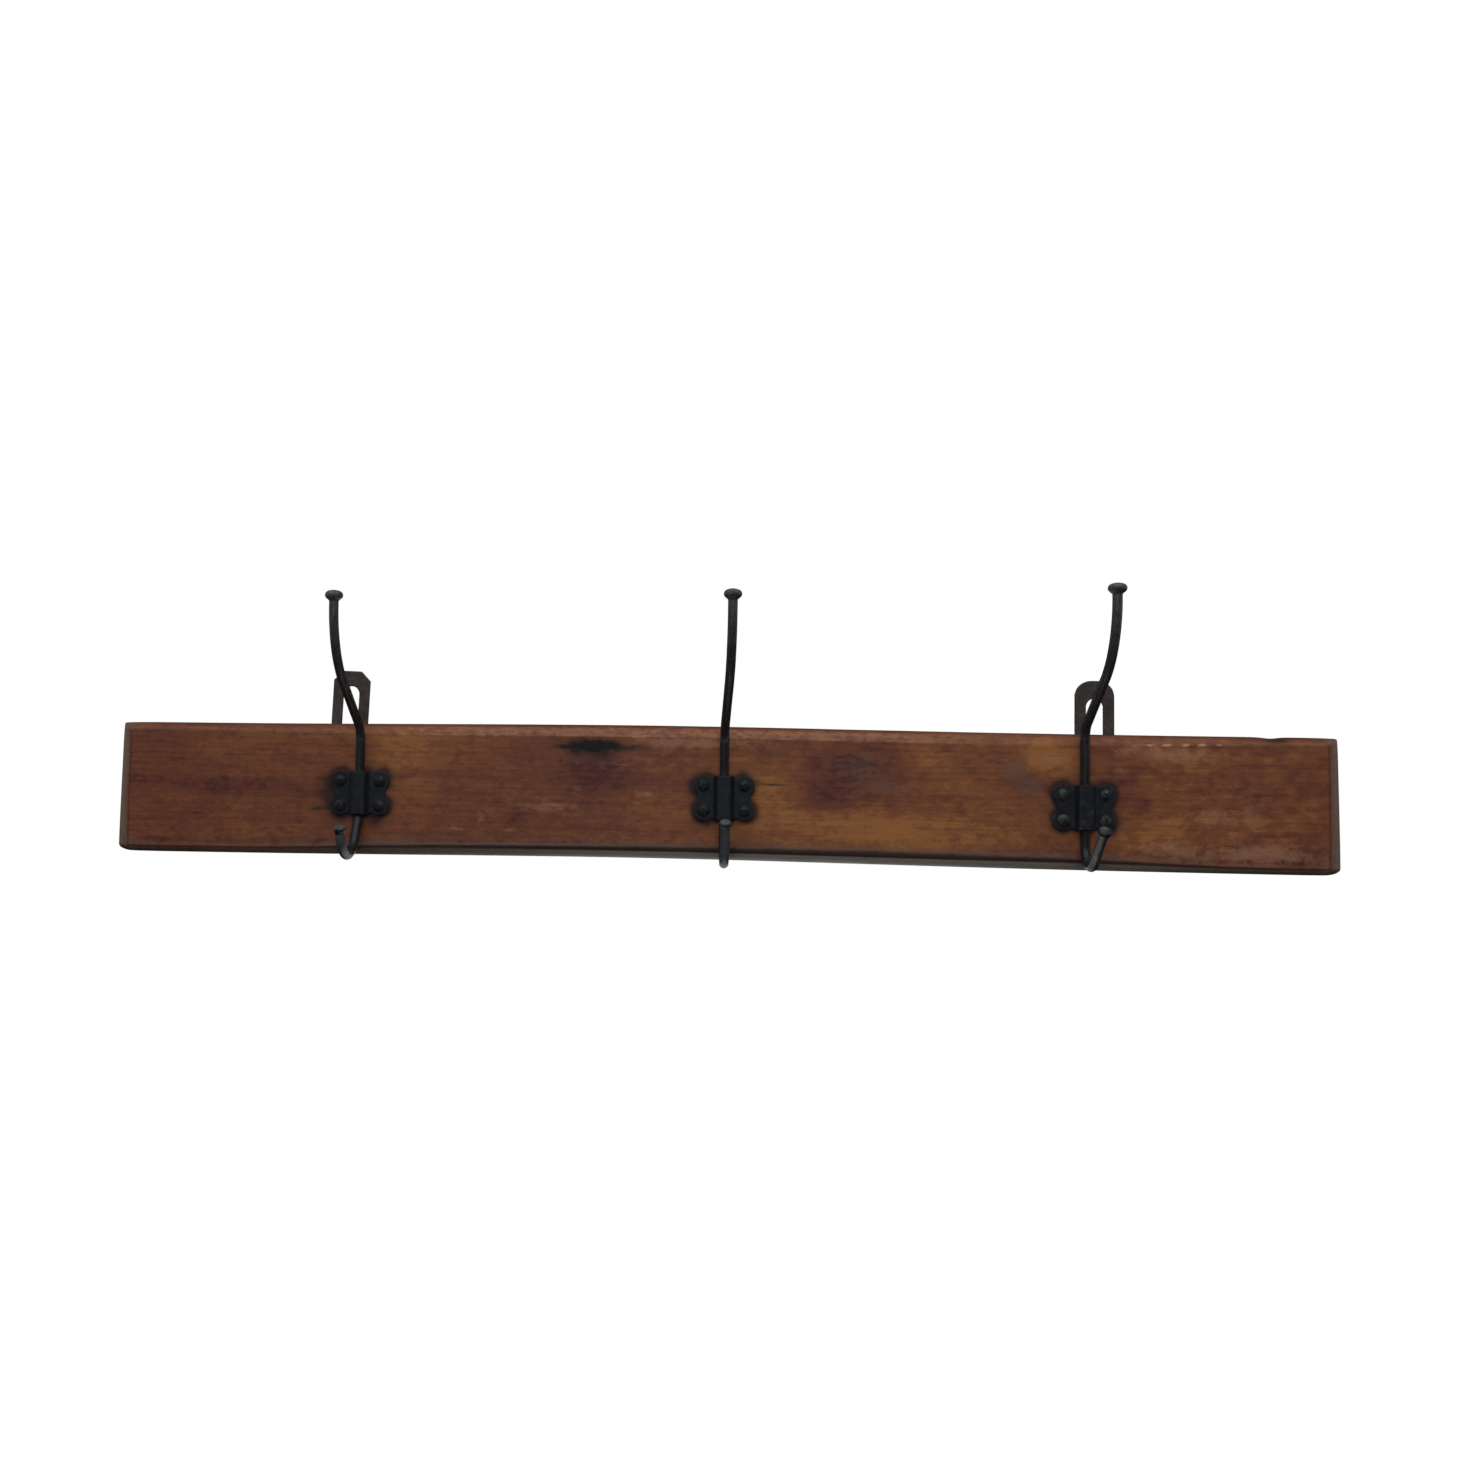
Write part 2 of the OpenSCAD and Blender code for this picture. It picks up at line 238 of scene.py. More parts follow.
def soften(piece, voxel, rounds, keep):
    """Fuses the piece's solids into one skin, rounds its edges and thins the mesh."""
    remesh = piece.modifiers.new("remesh", "REMESH")
    remesh.mode = "VOXEL"
    remesh.voxel_size = voxel
    smooth = piece.modifiers.new("smooth", "SMOOTH")
    smooth.factor = 0.5
    smooth.iterations = rounds
    thin = piece.modifiers.new("thin", "DECIMATE")
    thin.ratio = keep
    with_modifiers(piece)
    clean(piece.data)


def convexity(mesh, rounds=3):
    """Positive at outer edges and negative in hollows, as a share of the edge's own length."""
    points = mesh_points(mesh)
    edges = np.empty(len(mesh.edges) * 2, np.int64)
    mesh.edges.foreach_get("vertices", edges)
    a, b = edges.reshape(-1, 2).T
    count = np.bincount(np.concatenate([a, b]), minlength=len(points)).clip(1)

    def average(values):
        out = np.empty_like(values)
        for k in range(values.shape[1]):
            out[:, k] = np.bincount(a, values[b, k], len(points)) + np.bincount(b, values[a, k], len(points))
        return out / count[:, None]

    length = np.linalg.norm(points[a] - points[b], axis=1)
    size = (np.bincount(a, length, len(points)) + np.bincount(b, length, len(points))) / count
    bend = ((points - average(points)) * mesh_normals(mesh)).sum(1) / size.clip(1e-9)
    bend = bend[:, None]
    for _ in range(rounds):
        bend = (bend + average(bend)) / 2
    return bend[:, 0]


def roughen(mesh, dents, pocks):
    """Sinks dents and pocks into a mesh: each is size (mm), seed and depth, and pocks also have a threshold.

    Gives the points as they were, and from -1 to 1 how far each one stands on an outer edge.
    """
    p, normal = mesh_points(mesh), mesh_normals(mesh)
    size, seed, depth = dents
    deep = depth * (0.5 + 0.5 * layered_noise(p, size, seed))
    size, seed, depth, above = pocks
    deep += depth * np.clip(layered_noise(p, size, seed) - above, 0, 1)
    set_points(mesh, p - normal * deep[:, None])
    return p, np.clip(convexity(mesh) * 3, -1, 1)


def prism_faces(n):
    """Faces of a prism whose ends have n points each."""
    ends = [tuple(range(n)), tuple(reversed(range(n, 2 * n)))]
    return ends + [(k, k + n, (k + 1) % n + n, (k + 1) % n) for k in range(n)]


def extrude_outline(outline, y_front, y_back):
    """Points and faces of a solid: outline is a list of (x, z), run round once, between two depths."""
    points = [(x, y, z) for y in (y_front, y_back) for x, z in outline]
    return points, prism_faces(len(outline))


def joined(solids):
    """One list of points and one of faces from several."""
    points, faces = [], []
    for some_points, some_faces in solids:
        start = len(points)
        points += list(some_points)
        faces += [tuple(start + k for k in face) for face in some_faces]
    return points, faces


def finish_piece(piece, node, material):
    piece.data.materials.clear()
    piece.data.materials.append(material)
    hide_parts(node)
    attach(piece, "root")


# -------- materials


class Nodes:
    """A short way to write a material's node tree."""

    def __init__(self, name):
        self.material = bpy.data.materials.new(name)
        self.material.use_nodes = True
        self.tree = self.material.node_tree
        self.shader = self.tree.nodes["Principled BSDF"]
        self.place = self.add("ShaderNodeTexCoord").outputs["Object"]

    def add(self, kind, **settings):
        node = self.tree.nodes.new(kind)
        for key, value in settings.items():
            setattr(node, key, value)
        return node

    def put(self, socket, value):
        if isinstance(value, bpy.types.NodeSocket):
            self.tree.links.new(value, socket)
        else:
            socket.default_value = value

    def scaled(self, scale, shift=(0, 0, 0)):
        node = self.add("ShaderNodeMapping")
        self.put(node.inputs["Vector"], self.place)
        self.put(node.inputs["Location"], shift)
        self.put(node.inputs["Scale"], scale)
        return node.outputs["Vector"]

    def noise(self, scale, detail=3.0, rough=0.55, shift=(0, 0, 0), twist=0.0):
        """Noise from about 0.25 to 0.75. scale is features per metre along X, Y and Z."""
        node = self.add("ShaderNodeTexNoise")
        self.put(node.inputs["Vector"], self.scaled(scale, shift))
        self.put(node.inputs["Scale"], 1.0)
        self.put(node.inputs["Detail"], detail)
        self.put(node.inputs["Roughness"], rough)
        self.put(node.inputs["Distortion"], twist)
        return node.outputs["Fac"]

    def math(self, operation, a, b=0.0, clamp=False):
        node = self.add("ShaderNodeMath", operation=operation, use_clamp=clamp)
        self.put(node.inputs[0], a)
        self.put(node.inputs[1], b)
        return node.outputs[0]

    def plus(self, a, b, clamp=False):
        return self.math("ADD", a, b, clamp)

    def times(self, a, b):
        return self.math("MULTIPLY", a, b)

    def swing(self, value, amount=1.0):
        """Turns a value about 0.5 into one about 0, amount times as strong."""
        centred = self.math("SUBTRACT", value, 0.5)
        return centred if amount == 1.0 else self.times(centred, amount)

    def ramp(self, value, low, high, out_low=0.0, out_high=1.0):
        """Maps value smoothly from low..high to out_low..out_high."""
        node = self.add("ShaderNodeMapRange", interpolation_type="SMOOTHSTEP", clamp=True)
        keys = ("Value", "From Min", "From Max", "To Min", "To Max")
        for key, setting in zip(keys, (value, low, high, out_low, out_high)):
            self.put(node.inputs[key], setting)
        return node.outputs[0]

    def mix(self, share, a, b, blend="MIX"):
        node = self.add("ShaderNodeMix", data_type="RGBA", blend_type=blend)
        self.put(node.inputs["Factor"], share)
        self.put(node.inputs["A"], (*a, 1) if isinstance(a, tuple) else a)
        self.put(node.inputs["B"], (*b, 1) if isinstance(b, tuple) else b)
        return node.outputs["Result"]

    def painted(self, name):
        return self.add("ShaderNodeAttribute", attribute_name=name).outputs["Fac"]

    def bump(self, height, distance, under=None):
        node = self.add("ShaderNodeBump")
        self.put(node.inputs["Height"], height)
        self.put(node.inputs["Distance"], distance)
        self.put(node.inputs["Strength"], 1.0)
        if under is not None:
            self.put(node.inputs["Normal"], under)
        return node.outputs["Normal"]

    def surface(self, **sockets):
        for key, value in sockets.items():
            self.put(self.shader.inputs[key.replace("_", " ")], value)
        return self.material


def wood_material():
    n = Nodes("stained_wood")
    rings = n.add("ShaderNodeTexWave", wave_type="RINGS", rings_direction="X", wave_profile="SAW")
    n.put(rings.inputs["Vector"], n.scaled((0.05, 1, 1), (0, -0.05, 0.075)))
    n.put(rings.inputs["Scale"], 95.0)
    n.put(rings.inputs["Distortion"], 9.0)
    n.put(rings.inputs["Detail"], 3.0)
    n.put(rings.inputs["Detail Scale"], 0.35)
    grain = rings.outputs["Fac"]
    fibre = n.noise((26, 480, 480), 4.0, 0.6)
    streak = n.noise((11, 120, 120), 4.0, 0.6, (3, 0, 0), 0.6)
    cloud = n.noise((16, 26, 26), 4.0, 0.55, (7, 1, 2), 0.8)
    mottle = n.noise((70, 105, 105), 4.0, 0.65, (5, 2, 9), 1.0)
    fleck = n.noise((210, 380, 380), 3.0, 0.6, (1, 4, 2), 0.4)

    # Tone runs from dark red brown over mid brown to golden brown.
    tone = n.painted("tone")
    for value, amount in ((cloud, 0.45), (mottle, 0.90), (streak, 0.45), (fleck, 0.90), (grain, 0.10)):
        tone = n.plus(tone, n.swing(value, amount))
    tone = n.plus(tone, n.times(n.painted("end"), n.swing(grain, 0.6)), clamp=True)
    ramp = n.add("ShaderNodeValToRGB")
    n.put(ramp.inputs["Fac"], tone)
    ramp.color_ramp.interpolation = "EASE"
    stops = ((0.0, (0.066, 0.0215, 0.0165)), (0.35, (0.116, 0.0395, 0.0225)), (0.65, (0.160, 0.0580, 0.0245)),
             (1.0, (0.235, 0.0960, 0.0310)))
    while len(ramp.color_ramp.elements) < len(stops):
        ramp.color_ramp.elements.new(0.5)
    for element, (place, colour) in zip(ramp.color_ramp.elements, stops):
        element.position = place
        element.color = (*colour, 1)
    colour = ramp.outputs["Color"]
    colour = n.mix(n.ramp(fibre, 0.56, 0.36, 0.0, 0.22), colour, (0.045, 0.018, 0.013))

    def area(name, ragged, low, high):
        """Share of a painted area with a ragged edge, from 0 where the paint is low to 1 where it is high."""
        return n.ramp(n.plus(n.painted(name), ragged), low, high)

    def torn(some, other):
        return n.plus(n.swing(*some), n.swing(*other))

    # Plum-coloured areas, where the old varnish has gone dull
    ragged = torn((mottle, 0.9), (fleck, 0.9))
    colour = n.mix(area("plum", ragged, 0.0, 0.9), colour, (0.84, 0.76, 1.0), "MULTIPLY")

    # Worn finish: pale blotches, and lighter wood along the upper arris, partly rubbed through and partly
    # painted highlight, with ragged edges
    pale = area("pale", ragged, 0.25, 0.95)
    colour = n.mix(n.times(pale, 0.55), colour, (0.290, 0.150, 0.095))
    bare_and_highlight = area("bare_and_highlight", torn((fleck, 0.5), (mottle, 0.4)), 0.2, 1.1)
    colour = n.mix(n.times(bare_and_highlight, 0.8), colour, (0.42, 0.230, 0.145))

    # Grime and painted light: a thin grey coating that turns light grey where the paint runs high, which is
    # painted sheen along the lower arris; grime and painted shade in one dark colour, round the ironwork and
    # along the arrises; and a slate-black burn
    grey = area("grey", n.times(ragged, 0.5), 0.1, 1.0)
    film_and_sheen = n.mix(n.ramp(n.painted("grey"), 0.75, 1.5), (0.112, 0.090, 0.072), (0.230, 0.215, 0.190))
    colour = n.mix(n.times(grey, 0.80), colour, film_and_sheen)
    dirt_and_shade = area("dirt_and_shade", n.times(ragged, 0.6), 0.1, 1.0)
    colour = n.mix(n.times(dirt_and_shade, 0.88), colour, (0.0165, 0.0110, 0.0110))
    burn = area("burn", torn((mottle, 1.4), (fleck, 0.9)), 0.05, 1.05)
    colour = n.mix(n.times(burn, 0.96), colour, (0.0075, 0.0090, 0.0092))

    rough = n.ramp(cloud, 0.3, 0.7, 0.42, 0.56)
    rough = n.plus(rough, n.times(n.math("MAXIMUM", pale, bare_and_highlight), 0.14))
    rough = n.plus(rough, n.times(n.math("MAXIMUM", burn, dirt_and_shade), 0.20))
    relief = n.bump(fibre, 0.00010)
    relief = n.bump(grain, 0.00006, relief)
    relief = n.bump(mottle, 0.00014, relief)
    return n.surface(Base_Color=colour, Roughness=rough, Normal=relief, Specular_IOR_Level=0.16)


def iron_material(name, base, dull, shine, uneven=0.7, relief=1.0, steel=(0.16, 0.17, 0.18)):
    """Old black finish on iron: worn to steel where the paint says so, which on the hooks' pegs and heads also
    stands in for painted highlight, with brown rust in places.
    """
    n = Nodes(name)
    blot = n.noise((220, 220, 220), 4.0, 0.6)
    grain = n.noise((1000, 1000, 1000), 1.5, 0.5, (3, 1, 2))
    scratch = n.noise((800, 800, 240), 2.0, 0.6, (1, 5, 3), 0.5)
    colour = n.mix(n.ramp(blot, 0.35, 0.68), base, tuple(1.7 * c for c in base))
    rust_share = n.ramp(n.plus(n.painted("rust"), n.swing(blot)), 0.25, 0.8)
    colour = n.mix(n.times(rust_share, 0.7), colour, (0.040, 0.019, 0.012))
    worn = n.ramp(n.plus(n.painted("wear_and_highlight"), n.swing(scratch, uneven)), 0.25, 1.0)
    colour = n.mix(worn, colour, steel)
    rough = n.math("SUBTRACT", n.ramp(blot, 0.3, 0.7, dull, dull + 0.14), n.times(worn, 0.14))
    bumps = n.bump(blot, 0.00014 * relief)
    bumps = n.bump(grain, 0.00002 * relief, bumps)
    return n.surface(Base_Color=colour, Metallic=n.times(worn, 0.7), Roughness=rough, Normal=bumps,
                     Specular_IOR_Level=shine)


def rust_material(name):
    """Flat steel with a brown patina, darker pits and greyer rubbed edges."""
    n = Nodes(name)
    blot = n.noise((90, 90, 90), 5.0, 0.62, (2, 3, 1), 0.5)
    pit = n.noise((620, 620, 620), 4.0, 0.65, (5, 1, 4))
    colour = n.mix(n.ramp(blot, 0.32, 0.66), (0.030, 0.0245, 0.0225), (0.056, 0.044, 0.039))
    colour = n.mix(n.ramp(pit, 0.60, 0.42, 0.0, 0.6), colour, (0.012, 0.010, 0.010))
    worn = n.ramp(n.plus(n.painted("wear_and_highlight"), n.swing(pit)), 0.35, 0.85)
    colour = n.mix(n.times(worn, 0.55), colour, (0.085, 0.074, 0.066))
    rough = n.ramp(pit, 0.3, 0.7, 0.62, 0.80)
    relief = n.bump(blot, 0.00030)
    relief = n.bump(pit, 0.00012, relief)
    return n.surface(Base_Color=colour, Roughness=rough, Normal=relief, Specular_IOR_Level=0.35)


# -------- board

BOARD_LOW, BOARD_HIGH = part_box("board")
BOARD_L = BOARD_HIGH.x - BOARD_LOW.x
BOARD_H = BOARD_HIGH.z - BOARD_LOW.z
BOARD_T = BOARD_HIGH.y - BOARD_LOW.y
PLATE_CENTRES = []
for side in SIDES:
    low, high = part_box("plate_" + side)
    PLATE_CENTRES.append(((low.x + high.x) / 2, (low.z + high.z) / 2))
BRACKET_FEET = []
for end, lean in zip(ENDS, BRACKET_LEAN):
    low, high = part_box(f"bracket_screw_{end}_upper")
    drop = BRACKET_SCREW_DROPS[0]
    BRACKET_FEET.append(((low.x + high.x) / 2 + drop * math.sin(lean), BOARD_H / 2))

# Marks on the face: x, z, half width, half height (mm) and strength
TONES = (
    (-345, 2, 75, 6, -0.22), (-345, 24, 45, 12, 0.14), (-205, 28, 42, 15, 0.42), (-205, 0, 26, 16, 0.18),
    (-165, 8, 26, 22, -0.06), (-75, 14, 24, 13, -0.38), (-125, -17, 10, 7, -0.26), (-128, 32, 22, 8, -0.10),
    (-40, -15, 30, 14, 0.22), (38, 2, 26, 16, 0.55), (112, -22, 66, 11, 0.50), (92, 18, 34, 14, -0.46),
    (78, 0, 18, 8, -0.34), (142, 27, 13, 9, 0.40), (160, -2, 34, 20, 0.16), (220, 28, 13, 11, 0.85),
    (282, -16, 30, 12, 0.34), (262, 2, 18, 20, -0.16), (330, 0, 70, 60, 0.08), (296, 28, 36, 12, 0.36),
    (345, -14, 42, 14, 0.22), (148, 33, 18, 5, -0.22), (55, -6, 20, 12, -0.14), (-370, 33, 20, 6, -0.20),
    (210, 10, 10, 8, -0.30), (268, 6, 14, 12, -0.20), (-110, 0, 80, 50, -0.08), (120, -10, 120, 90, 0.12),
    # The last mark darkens a thin line the whole length of the face along the lower arris's crease: painted
    # shade.
    (0, -36, 800, 3, -0.20),
)
PLUMS = (
    (345, 4, 48, 44, 0.50), (275, 26, 22, 10, 0.35), (-375, 24, 26, 16, 0.42), (-70, 12, 28, 16, 0.62),
    (-128, 12, 20, 14, 0.25), (92, 16, 34, 15, 0.62), (75, -2, 16, 7, 0.45), (205, 12, 16, 16, 0.26),
    (-330, 0, 60, 5, 0.35), (-205, -32, 60, 6, 0.30), (-380, -20, 24, 14, 0.20),
)
PALES = (
    (-106, -10, 22, 6, 0.62), (-153, -17, 7, 5, 0.55), (-88, 3, 7, 4, 0.50), (-40, 0, 8, 2, 0.75),
    (-48, -5, 5, 3, 0.60), (-62, 20, 16, 6, 0.40), (-30, 22, 20, 8, 0.30), (-132, -25, 9, 1.6, 0.75),
    (-168, -25, 13, 1.3, 0.65), (30, -22, 14, 5, 0.20), (221, 26, 11, 9, 0.55), (262, 20, 5, 2, 0.45),
    (330, -9, 22, 6, 0.30), (295, -28, 18, 4, 0.40), (300, 30, 30, 4, 0.35), (350, -26, 22, 5, 0.30),
    (330, 2, 64, 42, 0.30), (325, -33, 75, 5, 0.28), (-20, 35, 62, 4, 0.42), (-5, 34, 44, 4, 0.42),
    (270, 34, 12, 4, 0.35), (365, -34, 38, 5, 0.45), (290, 33, 26, 5, 0.35),
)
GREYS = (
    (97, 20, 20, 12, 0.45), (118, 6, 16, 6, 0.35), (198, 22, 12, 9, 0.45), (208, 8, 10, 8, 0.45),
    # The long mark at z -33 is painted sheen on the face just above the lower arris; the one at z -36 greys the
    # line along its crease.
    (-85, 22, 22, 6, 0.25), (0, -33, 330, 4, 0.38), (0, -36, 800, 3, 0.10),
)
DIRT_AND_SHADE = (
    # Besides grime, some marks are painted shade: the soft halo beside the left hook's shaft (-229, 26), the
    # dark round its lower hook (-226, -24), the dark marks just left of its plate (x -262 to -258) and the long
    # line along the lower arris's crease (90, -36).
    (-80, 29, 20, 6.5, 0.60), (-72, 25, 8, 5, 0.40), (-104, 34, 14, 2.0, 0.30), (-50, 31, 13, 2.4, 0.60),
    (-229, 26, 7, 24, 0.30), (-226, -24, 9, 8, 0.35), (-262, -13, 9, 1.6, 0.55), (-258, -3, 9, 3, 0.36),
    (-260, 7, 7, 2, 0.32), (-258, -26, 8, 2, 0.35), (-260, 0, 10, 16, 0.22), (-206, 9, 8, 1.8, 0.50),
    (44, 7.5, 13, 0.9, 0.85), (362, 41, 9, 1.8, 0.95), (-180, -17, 12, 4, 0.20), (204, 14, 10, 4, 0.30),
    (152, -23, 7, 1.2, 0.40), (90, -36, 90, 3, 0.22),
)
BURNS = (
    (-80, 31.0, 16, 5.2, 1.15), (-66, 31.5, 14, 3.2, 0.55), (-98, 30.0, 8, 1.4, 0.35),
)


def marks(x, z, table):
    """Sum of soft elliptical spots at each point of the face."""
    total = np.zeros(len(x))
    for cx, cz, half_w, half_h, strength in table:
        far = ((x / MM - cx) / half_w) ** 2 + ((z / MM - cz) / half_h) ** 2
        total += strength * np.exp(-0.9 * far)
    return total


def inset_ring(inset, along, upright, corner):
    """Points (x, z) of the board's outline moved in by inset, run round once from the lower left corner."""
    half_x, half_z = BOARD_L / 2 - inset, BOARD_H / 2 - inset
    sides = ((-1, -1, LOWER_CORNER_R, along), (1, -1, LOWER_CORNER_R, upright),
             (1, 1, UPPER_CORNER_R, along), (-1, 1, UPPER_CORNER_R, upright))
    ring, arcs = [], []
    for k, (sx, sz, radius, _) in enumerate(sides):
        r = max(radius - inset, 0)
        centre = np.array([sx * (half_x - r), sz * (half_z - r)])
        angles = math.pi + k * math.pi / 2 + np.linspace(0, math.pi / 2, corner + 1)
        arcs.append(centre + r * np.stack([np.cos(angles), np.sin(angles)], 1))
    for k, (*_, count) in enumerate(sides):
        ring += list(arcs[k][:-1])
        a, b = arcs[k][-1], arcs[(k + 1) % 4][0]
        ring += [a + (b - a) * j / count for j in range(count)]
    return np.array(ring)


def board_profile():
    """(inset, y) from the back edge round the side to the face."""
    radius = ARRIS_W / (1 - math.sin(ARRIS_STEP))
    deep = radius * math.cos(ARRIS_STEP)
    profile = [(0.5 * MM, 0), (0.12 * MM, -0.12 * MM), (0, -0.5 * MM)]
    profile += [(0, y) for y in np.linspace(-2.5 * MM, -(BOARD_T - deep), 5)]
    for angle in np.linspace(0, math.pi / 2 - ARRIS_STEP, 14)[1:-1]:
        profile.append((radius * (1 - math.cos(angle)), -(BOARD_T - deep) - radius * math.sin(angle)))
    profile += [(ARRIS_W - 0.3 * MM, -BOARD_T + 0.07 * MM), (ARRIS_W + 0.1 * MM, -BOARD_T + 0.02 * MM)]
    profile += [(ARRIS_W + 0.6 * MM, -BOARD_T), (ARRIS_W + 1.5 * MM, -BOARD_T)]
    return profile


def board_skin():
    """The board's skin, with a fine even mesh on the face and the back.

    The back is open at each corner, in one thin triangle between the rounding and the mesh.
    """
    pitch, corner = 1.6 * MM, 6
    along = round((BOARD_L - 2 * ARRIS_W) / pitch)
    upright = round((BOARD_H - 2 * ARRIS_W) / pitch)
    profile = board_profile()
    rings = [inset_ring(inset, along, upright, corner) for inset, _ in profile]
    count = len(rings[0])
    points = [(x, y, z) for ring, (_, y) in zip(rings, profile) for x, z in ring]
    faces = []
    for row in range(len(rings) - 1):
        a, b = row * count, (row + 1) * count
        faces += [(a + k, a + (k + 1) % count, b + (k + 1) % count, b + k) for k in range(count)]
    # A ring starts with the lower left corner's arc, and each arc is followed by a straight side.
    arcs = np.cumsum([0, corner + along, corner + upright, corner + along])
    bottom, right, top, left = [(arc + corner + np.arange(length + 1)) % count
                                for arc, length in zip(arcs, (along, upright, along, upright))]
    for row, flip in ((0, True), (len(rings) - 1, False)):
        first = row * count
        low, high = rings[row][bottom[1:-1]], rings[row][top[-2:0:-1]]
        inner = (low + (high - low) * np.arange(1, upright)[:, None, None] / upright).reshape(-1, 2)
        grid = np.empty((upright + 1, along + 1), int)
        grid[:, 0], grid[:, -1] = first + left[::-1], first + right
        grid[0], grid[-1] = first + bottom, first + top[::-1]
        grid[1:-1, 1:-1] = len(points) + np.arange(len(inner)).reshape(upright - 1, along - 1)
        points += [(x, profile[row][1], z) for x, z in inner]
        quads = np.stack([grid[:-1, :-1], grid[:-1, 1:], grid[1:, 1:], grid[1:, :-1]], 2)
        sheet = quads.reshape(-1, 4).tolist()
        sheet += [(first + (arc + np.arange(corner + 1)) % count).tolist() for arc in arcs]
        faces += [face[::-1] if flip else face for face in sheet]
    return points, faces


def crook(x):
    """How far the old board has bowed up at x."""
    return (-0.5 - 1.25 * x + 2.25 * bell(x + 0.045, 0.2)) * MM


def side_share(x, z):
    """Width of the hand-worked arris along the top and the bottom, as a share of ARRIS_W."""
    middle = step(-0.33, -0.17, x) * step(0.36, 0.22, x)
    return np.where(z > 0, 0.80, 0.58) + 0.28 * middle


# Width of the arris at the ends, as a share of ARRIS_W, and how much shorter the board is along its top
END_SHARE = 1.25
OUT_OF_SQUARE = 0.0032


def edge_distance(p):
    """Distance in from the worn board's edge, stretched so that the arris's line is ARRIS_W in everywhere."""
    x, z = p[:, 0], p[:, 2] - crook(p[:, 0])
    from_end = (BOARD_L / 2 - np.abs(x)) / END_SHARE
    return np.minimum(from_end, (BOARD_H / 2 - np.abs(z)) / side_share(x, z))


def wear_board(points):
    """Moves the skin's points: worn arrises, dents, chips, an uneven old face and a slight crook."""
    p = points.copy()
    x, y, z = points.T
    inset = np.minimum(BOARD_L / 2 - np.abs(x), BOARD_H / 2 - np.abs(z))
    front = step(-0.6 * BOARD_T, -0.9 * BOARD_T, y)
    on_arris = front * bell(inset - ARRIS_W, 2.2 * MM)
    rub = 0.5 + 0.5 * layered_noise(p, (60, 30, 30), 11)
    nick = np.clip(layered_noise(p, (7, 6, 6), 12) - 0.25, 0, 1)
    deep = on_arris * (0.20 * MM * rub + 0.35 * MM * nick)
    face = step(ARRIS_W - 1 * MM, ARRIS_W + 2 * MM, inset) * front
    deep += face * 0.12 * MM * (0.5 + 0.5 * layered_noise(p, (60, 40, 16), 13))
    rng = np.random.default_rng(5)
    for _ in range(60):
        at_x, at_z = rng.uniform(-0.49, 0.49) * BOARD_L, rng.uniform(-0.4, 0.4) * BOARD_H
        half_w, half_h = rng.uniform(1.6, 5.0) * MM, rng.uniform(1.2, 2.6) * MM
        dent = rng.uniform(0.10, 0.36) * MM
        deep += face * dent * np.exp(-(((x - at_x) / half_w) ** 2) - ((z - at_z) / half_h) ** 2)
    deep += face * 0.35 * MM * np.clip(marks(x, z, DIRT_AND_SHADE) + marks(x, z, BURNS), 0, 1)
    p[:, 1] += deep

    # The arris is wider at the ends, and it narrows along the top and the bottom away from the middle.
    blend_to = 18 * MM
    for axis, size, share in ((0, BOARD_L, END_SHARE), (2, BOARD_H, side_share(x, z))):
        within = size / 2 - np.abs(points[:, axis])
        fade = step(ARRIS_W, ARRIS_W + blend_to, within)
        p[:, axis] = np.sign(points[:, axis]) * (size / 2 - within * (share + (1 - share) * fade))

    # Corners and edges are worn in, one edge is chipped, and both ends are cut a little out of square.
    near_end, near_side = (BOARD_L / 2 - np.abs(x)) / (7 * MM), (BOARD_H / 2 - np.abs(z)) / (7 * MM)
    corner = 0.5 * MM * np.exp(-near_end - near_side)
    p[:, 0] -= np.sign(x) * corner
    wave = 0.5 + 0.5 * layered_noise(points, (120, 60, 60), 14)
    rim = 0.30 * MM * wave * np.exp(-inset / (1.5 * MM)) * (np.abs(z) > 0.45 * BOARD_H)
    p[:, 2] -= np.sign(z) * (corner + rim)
    p[:, 2] -= 0.9 * MM * np.exp(-(((x - 0.362) / (6 * MM)) ** 2) - (BOARD_H / 2 - z) / (2 * MM))
    p[:, 0] *= 1 - OUT_OF_SQUARE * (0.5 + z / BOARD_H)
    p[:, 2] += crook(p[:, 0])
    return p


def plate_distance(x, z, centre):
    """Distance outside a plate's four lobes and the square between them, 0 inside."""
    u, v = np.abs(x - centre[0]), np.abs(z - centre[1])
    lobe = np.hypot(u - SCREW_X, v - SCREW_Z) - LOBE_R
    block = np.hypot(np.clip(u - SCREW_X, 0, None), np.clip(v - SCREW_Z - LOBE_R + EDGE_DIP, 0, None))
    return np.clip(np.minimum(lobe, block), 0, None)


